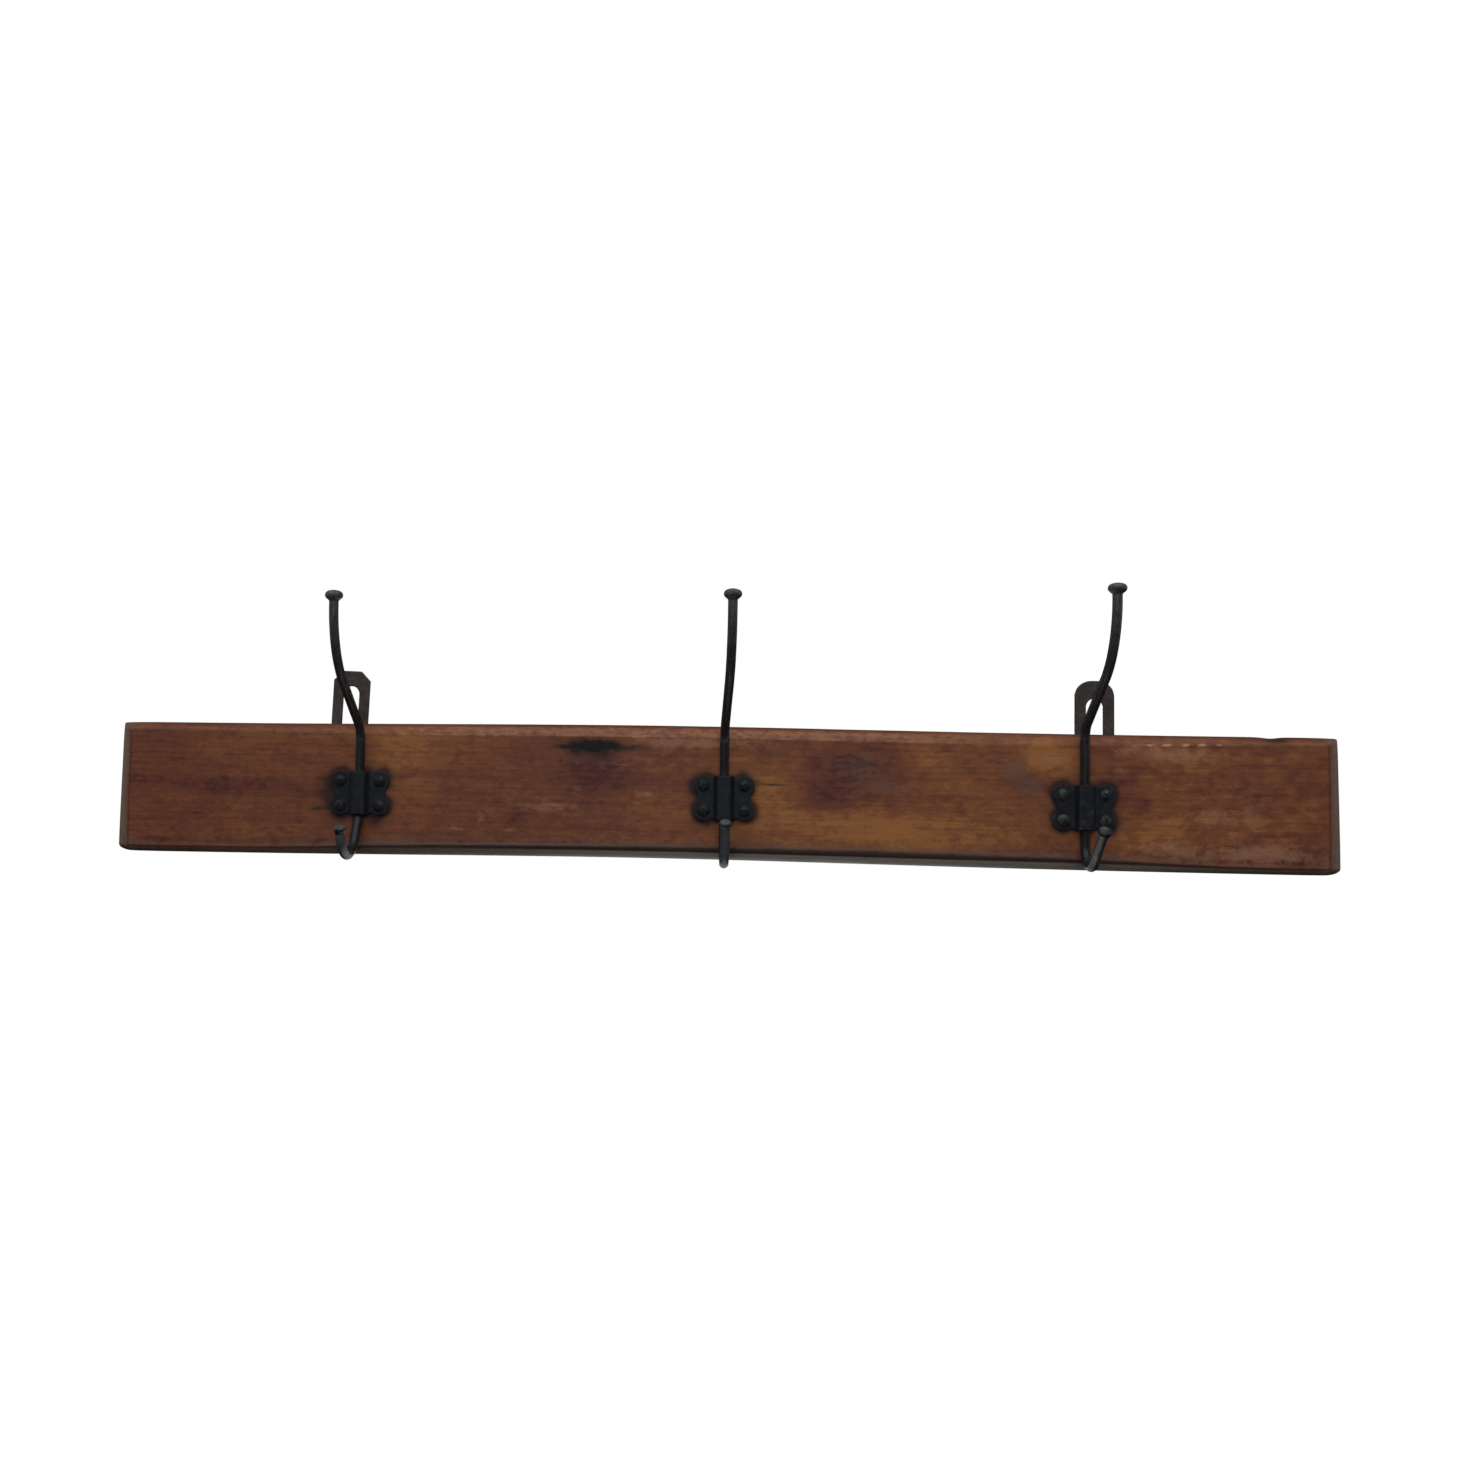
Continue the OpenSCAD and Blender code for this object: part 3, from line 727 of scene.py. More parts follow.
def paint_board(mesh):
    p = mesh_points(mesh)
    x, y, z = p.T
    inset = edge_distance(p) / MM
    line = ARRIS_W / MM
    front = step(-0.40 * BOARD_T, -0.75 * BOARD_T, y)
    drift_x = x + 4 * MM * layered_noise(p, 20, 25)
    drift_z = z + 1.3 * MM * layered_noise(p, 11, 26)

    def spots(table):
        return front * marks(drift_x, drift_z, table)

    upper, lower = step(0.1 * BOARD_H, 0.3 * BOARD_H, z), step(-0.1 * BOARD_H, -0.3 * BOARD_H, z)
    at_side = (BOARD_H / 2 - np.abs(z)) / MM < line * 1.3
    at_end = step(2.2, 0.9, (BOARD_L / 2 - np.abs(x)) / ARRIS_W)
    from_end = BOARD_L / 2 * (1 - OUT_OF_SQUARE * (0.5 + z / BOARD_H)) - np.abs(x)
    end_face = step(3.5 * MM, 0.8 * MM, from_end) * step(-0.15 * MM, -0.6 * MM, y)

    broad = layered_noise(p, (60, 30, 18), 21)
    tone = 0.45 + 0.12 * broad + spots(TONES)
    # Darker off the face, and darker on the lower arris's rounding as painted shade.
    tone -= 0.16 * (1 - front) + 0.16 * lower * step(line, line - 2, inset) * at_side
    flecks = 0.03 + 0.15 * step(-0.16, 0.02, x) + 0.10 * step(0.22, 0.27, x)
    tone += front * flecks * layered_noise(p, (7, 4, 4), 27, 2)
    paint(mesh, "tone", tone)
    paint(mesh, "plum", spots(PLUMS))
    paint(mesh, "end", end_face)
    paint(mesh, "pale", spots(PALES))

    # The upper arris is lighter, most in the middle of the board, partly rubbed and partly painted highlight of
    # the light from above, with bright specks along its line.
    middle = step(-0.27, -0.15, x) * step(0.24, 0.10, x)
    band = step(line + 1.5, line - 1.5, inset) * step(0.8, 2.8, inset) * upper * at_side
    arris = bell(inset - line + 0.4, 0.8) * front
    rub = step(-0.15, 0.55, layered_noise(p, (16, 30, 30), 22))
    waver = x + 4 * MM * noise(p, (22, 1000, 1000), 23)
    dashes = bell(x - 0.303, 27 * MM, 4) * step(0.1, 0.6, np.sin(waver / (1.6 * MM)))
    specks = arris * upper * (0.10 + 0.25 * rub * middle + 1.20 * dashes)
    paint(mesh, "bare_and_highlight", band * (0.18 + 0.26 * middle) + specks)

    # Under the lower arris a dark line, painted shade, runs over a grey band, painted sheen, that fades towards
    # the ends. Just above the crease the face gets a little painted sheen and painted shade as well.
    under = lower * at_side * front
    sheen_band = step(line - 1.6, line - 3.2, inset) * under
    fade = bell(x - 0.04, 0.26, 4)
    lower_edge_peak = bell(x - 0.10, 0.24)
    sheen_above_crease = under * bell(inset - line - 1.2, 3.0)
    grey = spots(GREYS) + (0.62 + 0.95 * lower_edge_peak) * sheen_band + 0.42 * sheen_above_crease
    grey += 0.62 * at_end * step(8, 6.5, inset) * front
    grey = np.minimum(grey, 1.7 - 1.05 * at_end)
    paint(mesh, "grey", grey + 0.35 * (1 - front))
    dirt_and_shade = spots(DIRT_AND_SHADE)
    dirt_and_shade += under * (1 - at_end) * (0.55 + 0.40 * fade) * bell(inset - line + 0.8, 1.4)
    dirt_and_shade += (0.20 + 0.30 * lower_edge_peak) * fade * under * bell(inset - line - 0.8, 2.4)
    # Painted shade: a thin dark line at the very top edge. A dark line also runs along the arris's line at both
    # ends.
    dirt_and_shade += 0.72 * upper * at_side * bell(inset, 1.5)
    dirt_and_shade += 0.72 * at_end * front * bell(inset - line + 0.3, 0.8)
    # Dark halos round each plate: grime and painted shade round the raised iron, uneven along the rim.
    halo_waver = 0.85 + 0.5 * noise(p, 7, 24)
    for centre in PLATE_CENTRES:
        out = plate_distance(x, z, centre)
        dirt_and_shade += front * halo_waver * (1.15 * np.exp(-out / (2.6 * MM)) + 0.34 * np.exp(-out / (8 * MM)))
    paint(mesh, "dirt_and_shade", dirt_and_shade)
    paint(mesh, "burn", spots(BURNS))


def bracket_outline(i, grow, top):
    """(x, z) of a bracket's outline from its own origin at the board's top edge, run round once."""
    half, foot = BRACKET_W / 2 + grow, -BRACKET_DROP - grow

    def arc(cx, cz, radius, start):
        return [(cx + radius * math.cos(a), cz + radius * math.sin(a))
                for a in np.radians(np.linspace(start, start + 90, 13))]

    outline = arc(-half + BRACKET_FOOT_R, foot + BRACKET_FOOT_R, BRACKET_FOOT_R, 180)
    outline += arc(half - BRACKET_FOOT_R, foot + BRACKET_FOOT_R, BRACKET_FOOT_R, 270)
    if i == 0:
        cut_in = BRACKET_CUT
        outline += [(half, top - cut_in), (half - cut_in, top), (-half + cut_in, top), (-half, top - cut_in)]
    else:
        r = BRACKET_ROUND_R
        outline += arc(half - r, top - r, r, 0) + arc(-half + r, top - r, r, 90)
    return outline


def bracket_place(i):
    """Moves points from a bracket's own frame to the board's."""
    x, z = BRACKET_FEET[i]
    return Matrix.Translation((x, 0, z)) @ Matrix.Rotation(BRACKET_LEAN[i], 4, "Y")


def moved(solid, matrix):
    points, faces = solid
    return [matrix @ Vector(p) for p in points], faces


def post(radius, y_front, y_back, x=0.0, z=0.0, segments=24):
    ring = [(x + radius * math.cos(a), z + radius * math.sin(a))
            for a in np.linspace(0, 2 * math.pi, segments, endpoint=False)]
    return extrude_outline(ring, y_front, y_back)


def board_hollows():
    """Recesses for the brackets and pilot holes for the screws."""
    solids = []
    for cx, cz in PLATE_CENTRES:
        for sx, sz in itertools.product((-1, 1), repeat=2):
            deep = -BOARD_T + ROUND_LENGTH - PLATE_T + PILOT_GAP
            solids.append(post(PILOT_R, -BOARD_T - 1 * MM, deep, cx + sx * SCREW_X, cz + sz * SCREW_Z))
    for i in range(2):
        recess = extrude_outline(bracket_outline(i, RECESS_GAP, 10 * MM), -BRACKET_T, 1 * MM)
        solids.append(moved(recess, bracket_place(i)))
        for drop in BRACKET_SCREW_DROPS:
            hole = post(PILOT_R, -CSK_LENGTH - PILOT_GAP, -BRACKET_T + 0.5 * MM, 0, -drop)
            solids.append(moved(hole, bracket_place(i)))
    return solids


def make_board():
    points, faces = board_skin()
    mesh = mesh_from("board_wood", points, faces)
    clean(mesh)
    set_points(mesh, wear_board(mesh_points(mesh)))
    piece = new_piece("board_wood", mesh)
    cut(piece, mesh_from("hollows", *joined(board_hollows())))
    piece.data.shade_smooth()
    paint_board(piece.data)
    finish_piece(piece, "board", wood_material())


# -------- hooks


def chain(steps):
    """(out, along, heading) about every millimetre of a rod. Its bends are [radius, angle, straight]."""
    out, along, heading = 0.0, 0.0, 0.0
    route = [(out, along, heading)]
    for radius, angle, straight in steps:
        turn = math.radians(angle)
        count = max(4, math.ceil(abs(turn) * radius / 0.9))
        curve = math.copysign(1 / radius, turn)
        for k in range(1, count + 1):
            now = heading + turn * k / count
            route.append((out + (math.cos(heading) - math.cos(now)) / curve,
                          along + (math.sin(now) - math.sin(heading)) / curve, now))
        out, along, heading = route[-1]
        count = max(2, math.ceil(straight / 1.2))
        for k in range(1, count + 1):
            route.append((out + math.sin(heading) * straight * k / count,
                          along + math.cos(heading) * straight * k / count, heading))
        out, along, heading = route[-1]
    return route


def head_profile(head_r):
    """(distance past the rod's end, radius) of an upset head: underside, round rim and low dome."""
    rim_r, rim_z, top = 0.48 * head_r, 0.62 * head_r, 1.2 * head_r
    rim_x = head_r - rim_r
    rise = top - rim_r
    dome_z = (rim_x**2 + rim_z**2 - rise**2) / (2 * (rim_z - rise))
    dome_r = top - dome_z
    meet = math.atan2(rim_z - dome_z, rim_x)
    profile = [(0.10 * MM, ROD_R + 0.25 * MM)]
    for angle in np.linspace(-math.pi / 3, meet, 11):
        profile.append((rim_z + rim_r * math.sin(angle), rim_x + rim_r * math.cos(angle)))
    for angle in np.linspace(meet, math.pi / 2, 9)[1:-1]:
        profile.append((dome_z + dome_r * math.sin(angle), dome_r * math.cos(angle)))
    return profile, top


def hook_route(i):
    """Centres, directions, radii and how far along, from the lower hook's head up to the peg's head."""
    x0, z0 = PLATE_CENTRES[i]
    y0 = -BOARD_T - ROD_OUT
    stations = []

    def stand(out, along, heading, turn, side):
        direction = Vector((math.sin(heading) * math.sin(turn), -math.sin(heading) * math.cos(turn),
                            side * math.cos(heading)))
        start = PEG_RISE[i] if side > 0 else -JAW_DROP[i]
        centre = Vector((x0 + out * MM * math.sin(turn), y0 - out * MM * math.cos(turn),
                         z0 + (start + side * along) * MM))
        return centre, direction * side

    jaw = chain(JAW_BENDS[i])
    peg = chain(PEG_BENDS)
    jaw_turn, peg_turn = math.radians(JAW_TURN[i]), math.radians(PEG_TURN[i])
    tip, tip_dir = stand(*jaw[-1], jaw_turn, -1)
    profile, top = head_profile(JAW_HEAD_R)
    stations.append((tip - tip_dir * top, tip_dir, 0.0, "jaw_head"))
    stations += [(tip - tip_dir * far, tip_dir, radius, "jaw_head") for far, radius in reversed(profile)]
    stations += [(*stand(*spot, jaw_turn, -1), ROD_R, "jaw") for spot in reversed(jaw)]
    straight = np.arange(-JAW_DROP[i] + 1.5, PEG_RISE[i] - 1.4, 1.5)
    stations += [(Vector((x0, y0, z0 + z * MM)), Vector((0, 0, 1)), ROD_R, "shaft") for z in straight]
    stations += [(*stand(*spot, peg_turn, 1), ROD_R, "peg") for spot in peg]
    tip, tip_dir = stand(*peg[-1], peg_turn, 1)
    profile, top = head_profile(PEG_HEAD_R)
    stations += [(tip + tip_dir * far, tip_dir, radius, "peg_head") for far, radius in profile]
    stations.append((tip + tip_dir * top, tip_dir, 0.0, "peg_head"))
    return stations


def make_hook(i, material):
    side = SIDES[i]
    stations = hook_route(i)
    segments = 28
    points, rows, faces, parts = [], [], [], []
    across = Vector((1, 0, 0))
    for centre, direction, radius, part in stations:
        across = (across - direction * across.dot(direction)).normalized()
        other = direction.cross(across)
        ring = [2 * math.pi * k / segments for k in range(segments if radius else 1)]
        rows.append(range(len(points), len(points) + len(ring)))
        points += [centre + radius * (across * math.cos(a) + other * math.sin(a)) for a in ring]
        parts += [part] * len(ring)
    for low, high in zip(rows, rows[1:]):
        for k in range(segments):
            after = (k + 1) % segments
            if len(low) == 1:
                faces.append((low[0], high[after], high[k]))
            elif len(high) == 1:
                faces.append((low[k], low[after], high[0]))
            else:
                faces.append((low[k], low[after], high[after], high[k]))
    mesh = mesh_from(f"hook_{side}_rod", points, faces)
    clean(mesh, 1e-7)
    p, normal = mesh_points(mesh), mesh_normals(mesh)
    # Drawn and hammered iron: long flats, small dents and uneven heads, always inside the full round
    dent = 0.5 + 0.5 * layered_noise(p, (6, 6, 14), 31 + i, 2)
    pock = np.clip(layered_noise(p, 4, 41 + i, 1) - 0.3, 0, 1)
    part = np.array(parts)
    on_head = np.char.endswith(part, "head")
    deep = np.where(on_head, 0.20 * MM, 0.07 * MM) * dent + np.where(on_head, 0.10 * MM, 0.03 * MM) * pock
    set_points(mesh, p - normal * deep[:, None])
    # The lower hook is rubbed grey on the limb that carries the coats. The pegs, more towards their upper ends,
    # and both heads, most on top, are lighter partly from rubbing and partly as painted highlight.
    front_limb = step(18 * MM, 32 * MM, -BOARD_T - p[:, 1])
    streaks = layered_noise(p, (1.6, 1.6, 9), 51 + i)
    peg_wear_and_highlight = 0.36 + 0.10 * step(0.04, 0.11, p[:, 2]) + 0.08 * streaks
    wear_and_highlight = np.where(part == "peg", peg_wear_and_highlight, 0.05 + 0.20 * streaks)
    wear_and_highlight += np.where(part == "jaw", 0.12 + (0.31 + 0.20 * np.clip(-normal[:, 1], 0, 1)) * front_limb, 0.0)
    on_top = step(0.35, 0.95, normal[:, 2])
    wear_and_highlight += np.where(part == "jaw_head", (0.30, 0.34, 0.16)[i] + 0.30 * on_top, 0.0)
    wear_and_highlight += np.where(part == "peg_head", 0.46 + 0.20 * on_top, 0.0)
    paint(mesh, "wear_and_highlight", wear_and_highlight)
    paint(mesh, "rust", 0.14 + 0.20 * layered_noise(p, 9, 61 + i))
    piece = new_piece(f"hook_{side}_rod", mesh)
    finish_piece(piece, f"hook_{side}", material)


# -------- plates


def plate_outline():
    """(x, z) of the four-lobed outline about its centre, run round once."""
    scallop_x = SCREW_X + math.sqrt((LOBE_R + SCALLOP_R) ** 2 - SCREW_Z**2)
    meet = math.atan2(SCREW_Z, scallop_x - SCREW_X)
    dip_z = SCREW_Z + LOBE_R - EDGE_DIP
    top = math.acos(1 - EDGE_DIP / LOBE_R)
    # Right side, upwards: hollow from below to above, then the upper right lobe to where the top edge starts
    quarter = [(scallop_x - SCALLOP_R * math.cos(a), SCALLOP_R * math.sin(a))
               for a in np.linspace(0, meet, 8)]
    quarter += [(SCREW_X + LOBE_R * math.cos(a), SCREW_Z + LOBE_R * math.sin(a))
                for a in np.linspace(-meet, math.pi / 2 + top, 22)[1:]]
    quarter.append((0.3 * SCREW_X, dip_z))
    upper = quarter + [(-x, z) for x, z in reversed(quarter)]
    return upper[:-1] + [(x, -z) for x, z in reversed(upper)][:-1]


def saddle_section():
    """(x, out) of the saddle's section with its open channel for the rod, run round once."""
    half, top, corner = SADDLE_W / 2, SADDLE_TOP_W / 2, SADDLE_CORNER_R
    right = [(CHANNEL_R, 0), (half + 0.4 * MM, 0), (half + 0.4 * MM, 0.6 * PLATE_T), (half, PLATE_T)]
    right += [(top - corner + corner * math.cos(a), SADDLE_OUT - corner + corner * math.sin(a))
              for a in np.linspace(0.12, math.pi / 2, 7)]
    left = [(-x, out) for x, out in reversed(right)]
    inside = [(-CHANNEL_R * math.cos(a), ROD_OUT + CHANNEL_R * math.sin(a))
              for a in np.linspace(0, math.pi, 19)]
    return right + left + inside


def make_plate(i, material):
    side = SIDES[i]
    cx, cz = PLATE_CENTRES[i]
    outline = [(cx + x, cz + z) for x, z in plate_outline()]
    flat = extrude_outline(outline, -BOARD_T - PLATE_T, -BOARD_T)
    mesh = mesh_from(f"plate_{side}_iron", *flat)
    clean(mesh)
    piece = new_piece(f"plate_{side}_iron", mesh)
    through, half_l = (-BOARD_T - 2 * PLATE_T, -BOARD_T + PLATE_T), 20 * MM
    holes = [post(PLATE_HOLE_R, *through, cx + sx * SCREW_X, cz + sz * SCREW_Z)
             for sx, sz in itertools.product((-1, 1), repeat=2)]
    low, high = cx - CHANNEL_R, cx + CHANNEL_R
    corners = [(low, cz - half_l), (high, cz - half_l), (high, cz + half_l), (low, cz + half_l)]
    channel = extrude_outline(corners, *through)
    cut(piece, mesh_from("holes", *joined(holes + [channel])))
    tall = SCREW_Z + LOBE_R - 0.5 * MM
    section = saddle_section()
    points = [(cx + x, -BOARD_T - out, cz + z) for z in (-tall, tall) for x, out in section]
    saddle = new_piece("saddle", mesh_from("saddle", points, prism_faces(len(section))))
    clean(saddle.data)
    solids = joined([([v.co for v in o.data.vertices], [tuple(f.vertices) for f in o.data.polygons])
                     for o in (piece, saddle)])
    bpy.data.objects.remove(saddle)
    piece.data = mesh_from(f"plate_{side}_iron", *solids)
    soften(piece, 0.30 * MM, 5, 0.38)
    mesh = piece.data
    p, edge = roughen(mesh, (6, 71 + i, 0.12 * MM), (2.2, 81 + i, 0.2 * MM, 0.35))
    rubbed = (0.04, 0.06, 0.22)[i]
    paint(mesh, "wear_and_highlight", rubbed + 0.26 * np.clip(edge, 0, 1) + 0.14 * layered_noise(p, 5, 91 + i))
    low_rim = step(0.0, -SCREW_Z, p[:, 2] - cz) * step(0.1, 0.5, edge)
    paint(mesh, "rust", 0.14 + 0.5 * low_rim + 0.16 * layered_noise(p, 6, 95 + i))
    finish_piece(piece, f"plate_{side}", material)


# -------- screws


def shank(radius, length, turns):
    """Rows (z, radius at each angle) of a wood screw's shank from its point at -length up to 0."""
    rows = []
    plain_from = -0.36 * length
    for z in np.arange(-length, 0, THREAD_PITCH / 8):
        share = min(1.0, (z + length) / POINT_L)
        core = 0.25 * MM + (radius - THREAD_DEEP - 0.25 * MM) * share
        phase = (z / THREAD_PITCH - turns / (2 * math.pi)) % 1
        ridge = np.clip(1 - np.abs(phase - 0.5) / 0.22, 0, 1) * THREAD_DEEP * min(1.0, share * 1.4)
        body = core + ridge
        blend = float(step(plain_from - 1.5 * MM, plain_from, np.array([z]))[0])
        rows.append((z, body * (1 - blend) + radius * blend))
    return rows


def make_screw(node, material, head, top_z, length, groove, place, wear_and_highlight, seed):
    """A slotted wood screw about Z, moved to its place.

    head is (z, radius) upwards from the shank's top at Z = 0. groove is the slot's width, depth and angle.
    """
    segments = 40
    turns = np.linspace(0, 2 * math.pi, segments, endpoint=False)
    rows = shank(ROUND_SHANK_R, length, turns) + [(z, np.full(segments, r)) for z, r in head]
    points = [(0, 0, rows[0][0] - 0.1 * MM)]
    for z, radii in rows:
        points += [(r * math.cos(a), r * math.sin(a), z) for r, a in zip(radii, turns)]
    points.append((0, 0, top_z))
    faces = []
    last = len(points) - 1
    for k in range(segments):
        after = (k + 1) % segments
        faces.append((0, 1 + after, 1 + k))
        for row in range(len(rows) - 1):
            low, high = 1 + row * segments, 1 + (row + 1) * segments
            faces.append((low + k, low + after, high + after, high + k))
        top = 1 + (len(rows) - 1) * segments
        faces.append((top + k, top + after, last))
    mesh = mesh_from(node + "_steel", points, faces)
    clean(mesh, 1e-7)
    piece = new_piece(node + "_steel", mesh)
    slot_w, slot_deep, slot_angle = groove
    half, wide = slot_w / 2, 8 * MM
    section = [(0.8, -slot_deep), (1, -0.3 * slot_deep), (1.5, 1 * MM)]
    section = [(-half * 0.8, top_z - slot_deep)] + [(half * wider, top_z + up) for wider, up in section] + [
        (-half * 1.5, top_z + 1 * MM), (-half, top_z - 0.3 * slot_deep)]
    turn = Matrix.Rotation(math.radians(slot_angle), 4, "Z")
    slot_points = [turn @ Vector((x, y, z)) for x in (-wide, wide) for y, z in section]
    slot_mesh = mesh_from("slot", slot_points, prism_faces(len(section)))
    clean(slot_mesh)
    cut(piece, slot_mesh)
    mesh = piece.data
    mesh.transform(place)
    clean(mesh, 0)
    mesh.set_sharp_from_angle(angle=math.radians(38))
    p = mesh_points(mesh)
    paint(mesh, "wear_and_highlight", wear_and_highlight + 0.22 * layered_noise(p, 2.2, seed))
    paint(mesh, "rust", 0.20 + 0.3 * layered_noise(p, 3, seed + 7))
    finish_piece(piece, node, material)


def make_plate_screw(i, k, material):
    """Round-head screw: a dome with a small flat rim at its foot."""
    ball = (ROUND_HEAD_R**2 + ROUND_HEAD_H**2) / (2 * ROUND_HEAD_H)
    full = math.asin(ROUND_HEAD_R / ball)
    head = [(0.0, ROUND_SHANK_R), (0.0, ROUND_HEAD_R - 0.25 * MM), (0.1 * MM, ROUND_HEAD_R - 0.08 * MM)]
    for angle in np.linspace(full, 0, 13)[1:-1]:
        head.append((ROUND_HEAD_H - ball * (1 - math.cos(angle)), ball * math.sin(angle)))
    node = f"plate_screw_{SIDES[i]}_{CORNERS[k]}"
    cx, cz = PLATE_CENTRES[i]
    x = cx + (SCREW_X if k % 2 else -SCREW_X)
    z = cz + (SCREW_Z if k < 2 else -SCREW_Z)
    place = Matrix.Translation((x, -BOARD_T - PLATE_T, z)) @ Matrix.Rotation(math.pi / 2, 4, "X")
    make_screw(node, material, head, ROUND_HEAD_H, ROUND_LENGTH,
               (1.1 * MM, 1.2 * MM, ROUND_SLOTS[4 * i + k]), place, (0.0, 0.0, 0.38)[i], 200 + 10 * i + k)


def make_bracket_screw(i, k, material):
    """Countersunk screw: its head is flush with the bracket's back, and it points to -Y, into the board."""
    sunk = CSK_HEAD_H
    head = [(0.0, ROUND_SHANK_R), (sunk - 0.12 * MM, CSK_HEAD_R - 0.06 * MM),
            (sunk - 0.02 * MM, CSK_HEAD_R - 0.15 * MM), (sunk, CSK_HEAD_R - 0.5 * MM),
            (sunk, 0.5 * CSK_HEAD_R)]
    node = f"bracket_screw_{ENDS[i]}_{HEIGHTS[k]}"
    down = Matrix.Translation((0, -CSK_SINK - sunk, -BRACKET_SCREW_DROPS[k]))
    place = bracket_place(i) @ down @ Matrix.Rotation(-math.pi / 2, 4, "X")
    make_screw(node, material, head, sunk, CSK_LENGTH - CSK_SINK - sunk,
               (0.9 * MM, 0.8 * MM, CSK_SLOTS[2 * i + k]), place, 0.25, 260 + 10 * i + k)


# -------- brackets


def make_bracket(i, material):
    end = ENDS[i]
    name = f"bracket_{end}_steel"
    blank = extrude_outline(bracket_outline(i, 0, BRACKET_RISE[i]), -BRACKET_T, 0)
    piece = new_piece(name, mesh_from(name, *blank))
    clean(piece.data)
    slot_r = SLOT_W / 2
    upper, lower = BRACKET_RISE[i] - SLOT_ROOF[i] - slot_r, -SLOT_DROP + slot_r
    slot = [(slot_r * math.cos(a), upper + slot_r * math.sin(a)) for a in np.linspace(0, math.pi, 25)]
    slot += [(-slot_r * math.cos(a), lower - slot_r * math.sin(a)) for a in np.linspace(0, math.pi, 25)]
    solids = [extrude_outline(slot, -2 * BRACKET_T, BRACKET_T)]
    for drop in BRACKET_SCREW_DROPS:
        solids.append(post(BRACKET_HOLE_R, -2 * BRACKET_T, BRACKET_T, 0, -drop))
        points, faces = post(1.0, 0, 1, segments=32)
        seat = []
        for x, y, z in points:
            radius = BRACKET_HOLE_R if y == 0 else SEAT_R
            seat.append((x * radius, -CSK_SINK - CSK_HEAD_H + y * SEAT_L, z * radius - drop))
        solids.append((seat, faces))
    for solid in solids:
        cutter = mesh_from("opening", *solid)
        clean(cutter)
        cut(piece, cutter)
    soften(piece, 0.34 * MM, 4, 0.34)
    mesh = piece.data
    p, edge = roughen(mesh, (9, 101 + i, 0.14 * MM), (2.0, 111 + i, 0.28 * MM, 0.25))
    paint(mesh, "wear_and_highlight", 0.10 + 0.5 * np.clip(edge, 0, 1) + 0.15 * layered_noise(p, 6, 121 + i))
    mesh.transform(bracket_place(i))
    finish_piece(piece, f"bracket_{end}", material)


# -------- camera, stage and light


# Camera: sensor's width and lens in mm, shift, place, and yaw, pitch and roll in degrees
SENSOR_W = 36
LENS = 35.63
CAMERA_SHIFT = (0.0882, 0.0148)
CAMERA_PLACE = (0.0055, -0.975, -0.024)
CAMERA_TURN = (-4.7, 3.15, 1.04)

FLOOR_HALF = 6.0
FLOOR_Z = -0.46


def add_camera():
    data = bpy.data.cameras.new("camera")
    data.sensor_width = SENSOR_W
    data.lens = LENS
    data.shift_x, data.shift_y = CAMERA_SHIFT
    data.clip_start = 0.02
    yaw, pitch, roll = (math.radians(a) for a in CAMERA_TURN)
    forward = Vector((math.sin(yaw) * math.cos(pitch), math.cos(yaw) * math.cos(pitch), math.sin(pitch)))
    level = Vector((math.cos(yaw), -math.sin(yaw), 0))
    above = level.cross(forward)
    right = level * math.cos(roll) + above * math.sin(roll)
    up = above * math.cos(roll) - level * math.sin(roll)
    camera = bpy.data.objects.new("camera", data)
    bpy.context.scene.collection.objects.link(camera)
    camera.matrix_world = Matrix.Translation(CAMERA_PLACE) @ Matrix((right, up, -forward)).transposed().to_4x4()
    bpy.context.scene.camera = camera


def add_area(name, place, width, height, power, reflected):
    """A rectangular light that faces the rack's middle. The camera doesn't see it."""
    data = bpy.data.lights.new(name, "AREA")
    data.shape = "RECTANGLE"
    data.size = width
    data.size_y = height
    data.energy = power
    lamp = bpy.data.objects.new(name, data)
    bpy.context.scene.collection.objects.link(lamp)
    lamp.location = place
    lamp.rotation_euler = (Vector((0, 0, 0)) - Vector(place)).to_track_quat("-Z", "Y").to_euler()
    lamp.visible_camera = False
    lamp.visible_glossy = reflected


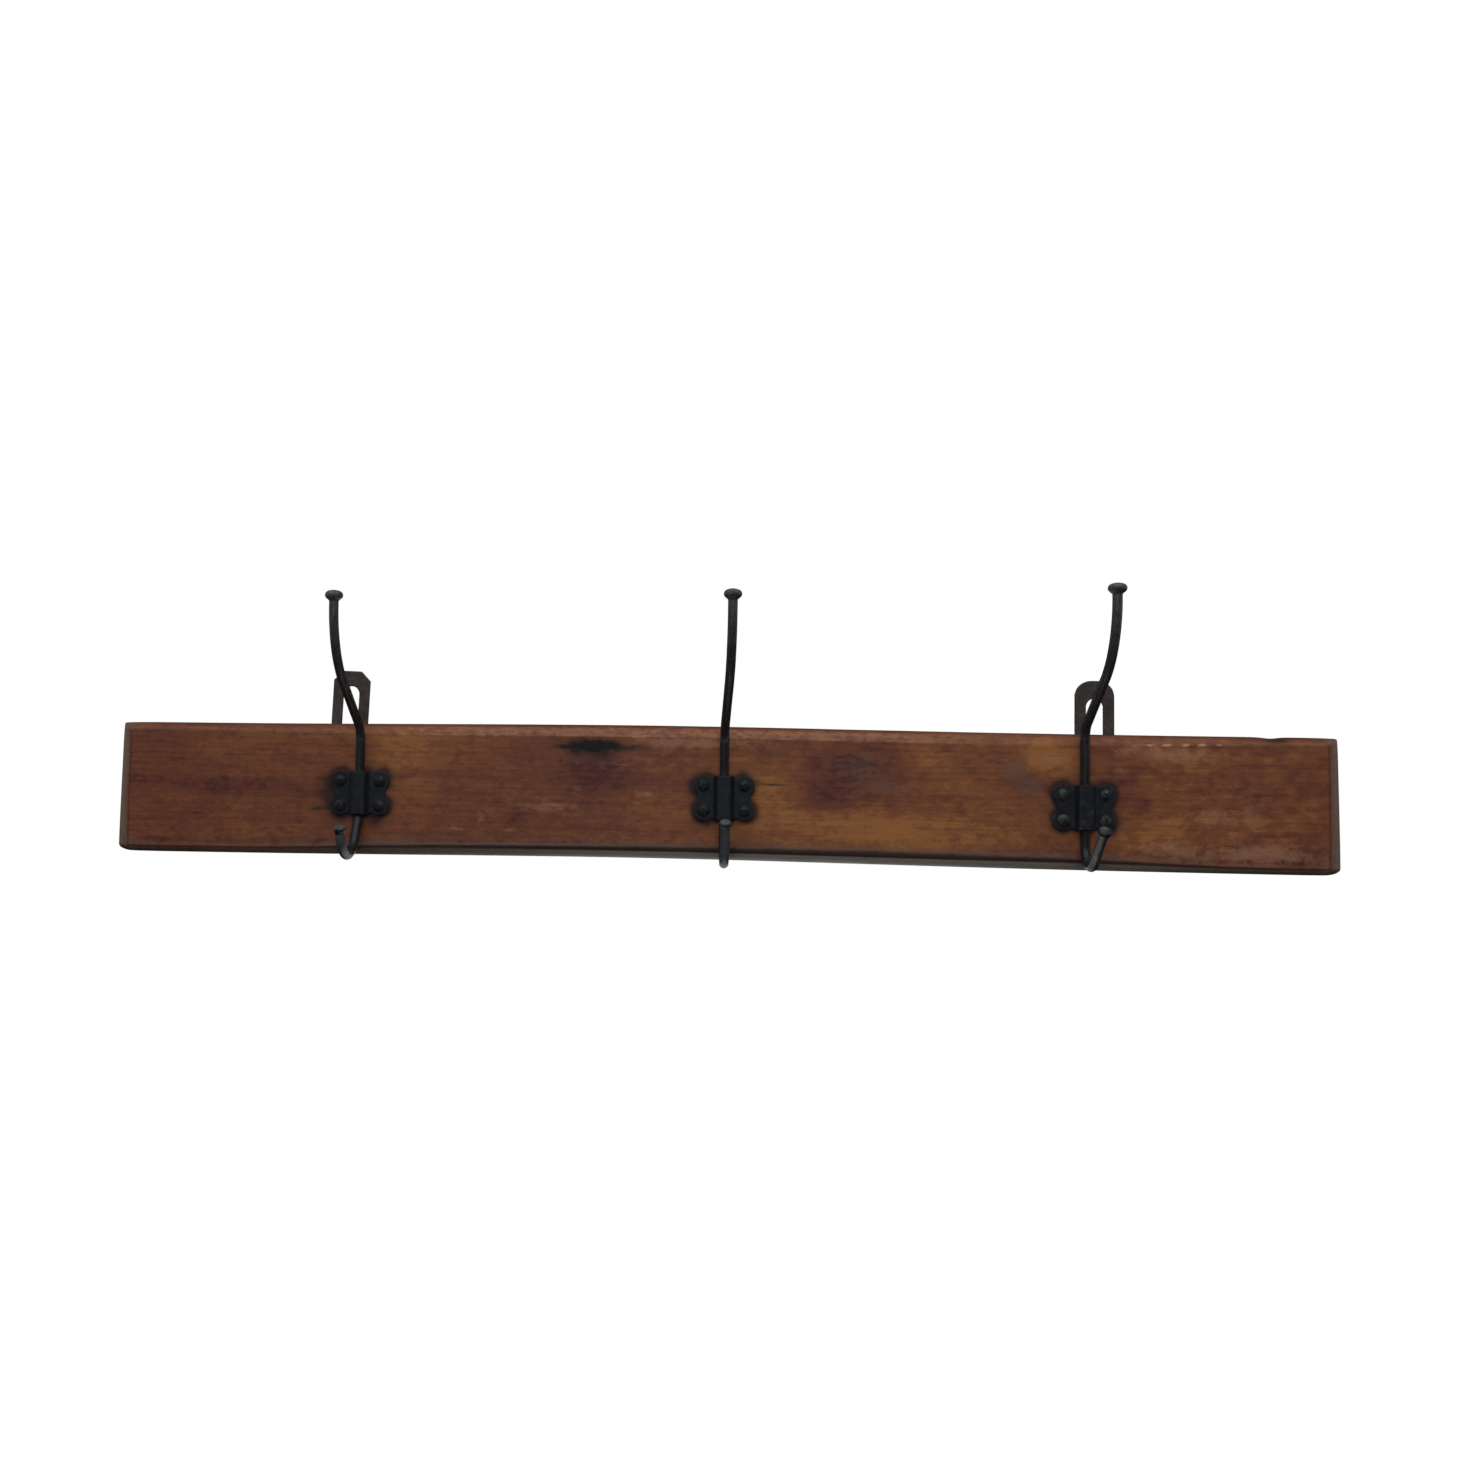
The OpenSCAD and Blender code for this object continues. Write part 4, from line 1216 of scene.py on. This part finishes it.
# Name, place, width, height, power and whether it shows in reflections
LIGHTS = (
    ("overhead", (0.0, -0.75, 1.25), 2.6, 1.4, 25, True),
    ("front", (0.0, -2.2, 0.2), 2.0, 1.2, 18, False),
    ("under", (0.0, 0.4, -0.44), 0.6, 1.2, 2.8, True),
    ("glint", (-0.15, -1.3, 0.36), 0.12, 0.12, 1.5, True),
    ("rim_left", (-1.6, 0.1, 0.3), 0.9, 1.1, 3.5, True),
    ("rim_right", (1.6, 0.1, 0.3), 0.9, 1.1, 3.5, True),
    ("back", (0.0, 1.6, 0.7), 1.6, 1.0, 14, False),
)


def stage_material():
    n = Nodes("pale_floor")
    cloud = n.noise((2.2, 2.2, 2.2), 3.0, 0.5)
    colour = n.mix(n.ramp(cloud, 0.3, 0.7), (0.90, 0.90, 0.895), (0.93, 0.93, 0.925))
    return n.surface(Base_Color=colour, Roughness=0.9, Specular_IOR_Level=0.1, Emission_Color=(1, 1, 1, 1),
                     Emission_Strength=1.0)


def add_stage():
    """A pale floor well under the rack, white surroundings, and soft light mostly from above and in front."""
    signs = ((-1, -1), (1, -1), (1, 1), (-1, 1))
    corners = [(x * FLOOR_HALF, y * FLOOR_HALF, FLOOR_Z) for x, y in signs]
    floor = new_piece("floor", mesh_from("floor", corners, [(0, 1, 2, 3)]))
    floor.data.materials.append(stage_material())
    floor.visible_glossy = False
    floor.visible_diffuse = False
    world = bpy.data.worlds.new("studio")
    bpy.context.scene.world = world
    world.use_nodes = True
    sky = world.node_tree.nodes["Background"].inputs
    sky["Color"].default_value = (1, 1, 1, 1)
    sky["Strength"].default_value = 1.0
    world.cycles_visibility.glossy = False
    world.cycles_visibility.diffuse = False
    bpy.context.scene.view_settings.view_transform = "Standard"
    for light in LIGHTS:
        add_area(*light)


# -------- everything together

add_camera()
add_stage()
make_board()
rod_black = iron_material("rod_black", (0.0060, 0.0065, 0.0085), 0.40, 0.26, uneven=0.35, relief=0.15)
plate_black = iron_material("plate_black", (0.0055, 0.0065, 0.0090), 0.46, 0.22)
screw_black = iron_material("screw_steel", (0.0070, 0.0095, 0.0105), 0.50, 0.20)
bracket_brown = rust_material("bracket_patina")
for i in range(3):
    make_hook(i, rod_black)
    make_plate(i, plate_black)
    for k in range(4):
        make_plate_screw(i, k, screw_black)
for i in range(2):
    make_bracket(i, bracket_brown)
    for k in range(2):
        make_bracket_screw(i, k, screw_black)
